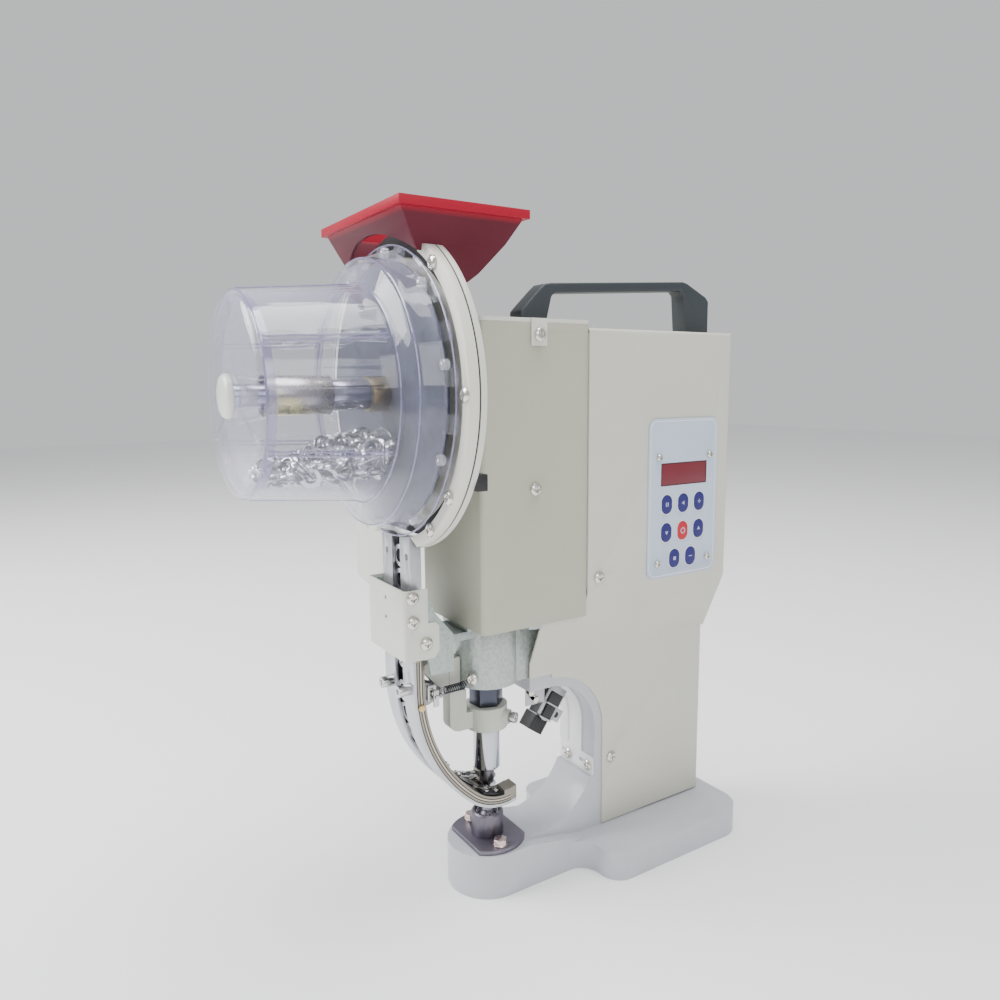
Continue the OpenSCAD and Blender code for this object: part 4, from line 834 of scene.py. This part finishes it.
# outline and sign on each key, border of the panel, edge of the display; sizes are halves in Y and Z
keyFace = 52.1
signX = (keyFace - 0.02, keyFace + 0.07)
keySigns = {1: "bars", 2: "up", 3: "plus", 4: "left", 5: "ring", 6: "right", 7: "square", 8: "minus"}
signBars = {
    "minus": [(-1.9, 1.9, -0.35, 0.35)], "plus": [(-1.9, 1.9, -0.35, 0.35), (-0.35, 0.35, -1.9, 1.9)],
    "bars": [(-1.5, -0.5, -1.8, 1.8), (0.5, 1.5, -1.8, 1.8)], "square": [(-1.5, 1.5, -1.5, 1.5)],
}
signTurns = {"up": 0, "left": 90, "right": -90}
signRing = {"outline": ((1.8, 0), (2.7, 0), (2.7, 0.07), (1.8, 0.07)), "steps": 32}
signArrow = {"radius": 2.1, "depth": 0.09}
panelTrim = {
    "face": 51.57, "sheet": 0.07, "cornerSteps": 8,
    "middle": (168, 316.5), "half": (38.2, 65.7), "corner": 7, "line": 0.55,
    "keyHalf": (6.6, 8.8), "keyCorner": 6.5,
    "display": ((142.3, 328.2), (194.8, 346.5)), "displayGap": 0.5, "displayCorner": 0.8, "displayLine": 0.9,
}


def makeRingPiece(name, middle, half, corner, line, finish):
    # flat rounded frame on the panel
    bm = bmesh.new()
    place = Matrix.Translation(at(panelTrim["face"], *middle))
    corners = [bm.verts.new(place @ at(0, y, z)) for y, z in
               (half, (-half[0], half[1]), (-half[0], -half[1]), (half[0], -half[1]))]
    bm.faces.new(corners)
    bmesh.ops.bevel(bm, geom=corners, offset=corner * mm, offset_type="OFFSET",
                    segments=panelTrim["cornerSteps"], profile=0.5, affect="VERTICES", clamp_overlap=True,
                    material=-1)
    face = max(bm.faces, key=lambda f: len(f.verts))
    bmesh.ops.inset_region(bm, faces=[face], thickness=line * mm, depth=0, use_even_offset=True,
                           use_boundary=True)
    bmesh.ops.delete(bm, geom=[face], context="FACES_ONLY")
    bmesh.ops.solidify(bm, geom=bm.faces[:], thickness=panelTrim["sheet"] * mm)
    bmesh.ops.recalc_face_normals(bm, faces=bm.faces)
    return finishPiece(name, bm, finish, "frame")


def addSign(bm, kind, y, z):
    for y0, y1, z0, z1 in signBars.get(kind, []):
        addBlock(bm, (signX[0], y + y0, z + z0), (signX[1], y + y1, z + z1))
    centre = at(keyFace, y, z)
    if kind == "ring":
        spinProfile(bm, signRing["outline"], turnMatrix(centre, (1, 0, 0)), signRing["steps"])
    if kind in signTurns:
        turn = Matrix.Rotation(math.radians(signTurns[kind]), 4, "X")
        flat = Matrix.Rotation(math.radians(90), 4, "Y") @ Matrix.Rotation(math.radians(180), 4, "Z")
        radius = signArrow["radius"] * mm
        bmesh.ops.create_cone(bm, cap_ends=True, segments=3, radius1=radius, radius2=radius,
                              depth=signArrow["depth"] * mm,
                              matrix=Matrix.Translation(centre) @ turn @ flat)


def makeKeypadTrim(spec):
    for number, kind in keySigns.items():
        low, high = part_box("key_%d" % number)
        y, z = (low[1] + high[1]) / 2 / mm, (low[2] + high[2]) / 2 / mm
        bm = bmesh.new()
        addSign(bm, kind, y, z)
        finishPiece("keySign%d" % number, bm, "keyPrint", "key_%d_button" % number)
        makeRingPiece("keyOutline%d" % number, (y, z), spec["keyHalf"], spec["keyCorner"], spec["line"],
                      "whitePrint")
    makeRingPiece("panelBorder", spec["middle"], spec["half"], spec["corner"], spec["line"], "whitePrint")
    (y0, z0), (y1, z1) = spec["display"]
    half = ((y1 - y0) / 2 + spec["displayGap"], (z1 - z0) / 2 + spec["displayGap"])
    makeRingPiece("displayBezel", ((y0 + y1) / 2, (z0 + z1) / 2), half, spec["displayCorner"],
                  spec["displayLine"], "displayEdge")


makeKeypadTrim(panelTrim)


# pins of the power inlet
inletTrim = {"pins": ((-7, -2), (0, 2.5), (7, -2)), "middle": 299, "half": (1.12, 2.12), "y": (213.5, 227.2),
             "edge": 0.3}


def makeInletTrim(spec):
    bm = bmesh.new()
    halfX, halfZ = spec["half"]
    for x, z in spec["pins"]:
        z += spec["middle"]
        addBlock(bm, (x - halfX, spec["y"][0], z - halfZ), (x + halfX, spec["y"][1], z + halfZ), spec["edge"])
    finishPiece("inletPins", bm, "screw", "frame")


makeInletTrim(inletTrim)
print("keypad and inlet trim made")


view = {"place": (0.53294, -0.32458, 0.41294), "azimuth": 57.47, "down": 8.26, "roll": -0.47,
        "focalPixels": 793.49, "imagePixels": 1000, "sensor": 36}


def makeCamera(spec):
    az, down, roll = (math.radians(spec[k]) for k in ("azimuth", "down", "roll"))
    forward = Vector((-math.sin(az) * math.cos(down), math.cos(az) * math.cos(down), -math.sin(down)))
    right = Vector((math.cos(az), math.sin(az), 0))
    up = right.cross(forward)
    turnedRight = right * math.cos(roll) + up * math.sin(roll)
    turnedUp = up * math.cos(roll) - right * math.sin(roll)
    data = bpy.data.cameras.new("camera")
    data.sensor_width = spec["sensor"]
    data.lens = spec["focalPixels"] / spec["imagePixels"] * spec["sensor"]
    data.clip_start, data.clip_end = 0.01, 50
    camera = bpy.data.objects.new("camera", data)
    bpy.context.scene.collection.objects.link(camera)
    rotation = Matrix((turnedRight, turnedUp, -forward)).transposed().to_4x4()
    camera.matrix_world = Matrix.Translation(spec["place"]) @ rotation
    bpy.context.scene.camera = camera


lights = {
    "key": {"place": (-0.9, -1.7, 1.7), "aim": (0, 0, 0.3), "size": 1.4, "power": 78},
    "side": {"place": (1.9, -0.4, 1.2), "aim": (0, 0, 0.25), "size": 1.2, "power": 15},
    "top": {"place": (0.2, 0.2, 2.5), "aim": (0, 0, 0.3), "size": 1.5, "power": 62},
}


def makeLights(specs):
    for name, spec in specs.items():
        data = bpy.data.lights.new(name, "AREA")
        data.size = spec["size"]
        data.energy = spec["power"]
        lamp = bpy.data.objects.new(name, data)
        bpy.context.scene.collection.objects.link(lamp)
        lamp.matrix_world = turnMatrix(spec["place"], Vector(spec["place"]) - Vector(spec["aim"]))
    world = bpy.data.worlds.new("studio")
    bpy.context.scene.world = world
    world.use_nodes = True
    world.node_tree.nodes["Background"].inputs["Color"].default_value = (0.95, 0.96, 0.98, 1)
    world.node_tree.nodes["Background"].inputs["Strength"].default_value = 0.72


def makeFloor():
    f = Finish("floor_paper", Roughness=0.9)
    f.set("Base Color", f.mix(f.noise(3, 2), (0.90, 0.90, 0.905), (0.92, 0.92, 0.92)))
    bm = bmesh.new()
    bmesh.ops.create_grid(bm, x_segments=1, y_segments=1, size=6)
    mesh = bpy.data.meshes.new("floor")
    bm.to_mesh(mesh)
    bm.free()
    mesh.materials.append(f.material)
    floor = bpy.data.objects.new("floor", mesh)
    bpy.context.scene.collection.objects.link(floor)


makeCamera(view)
makeLights(lights)
makeFloor()
print("stage made")
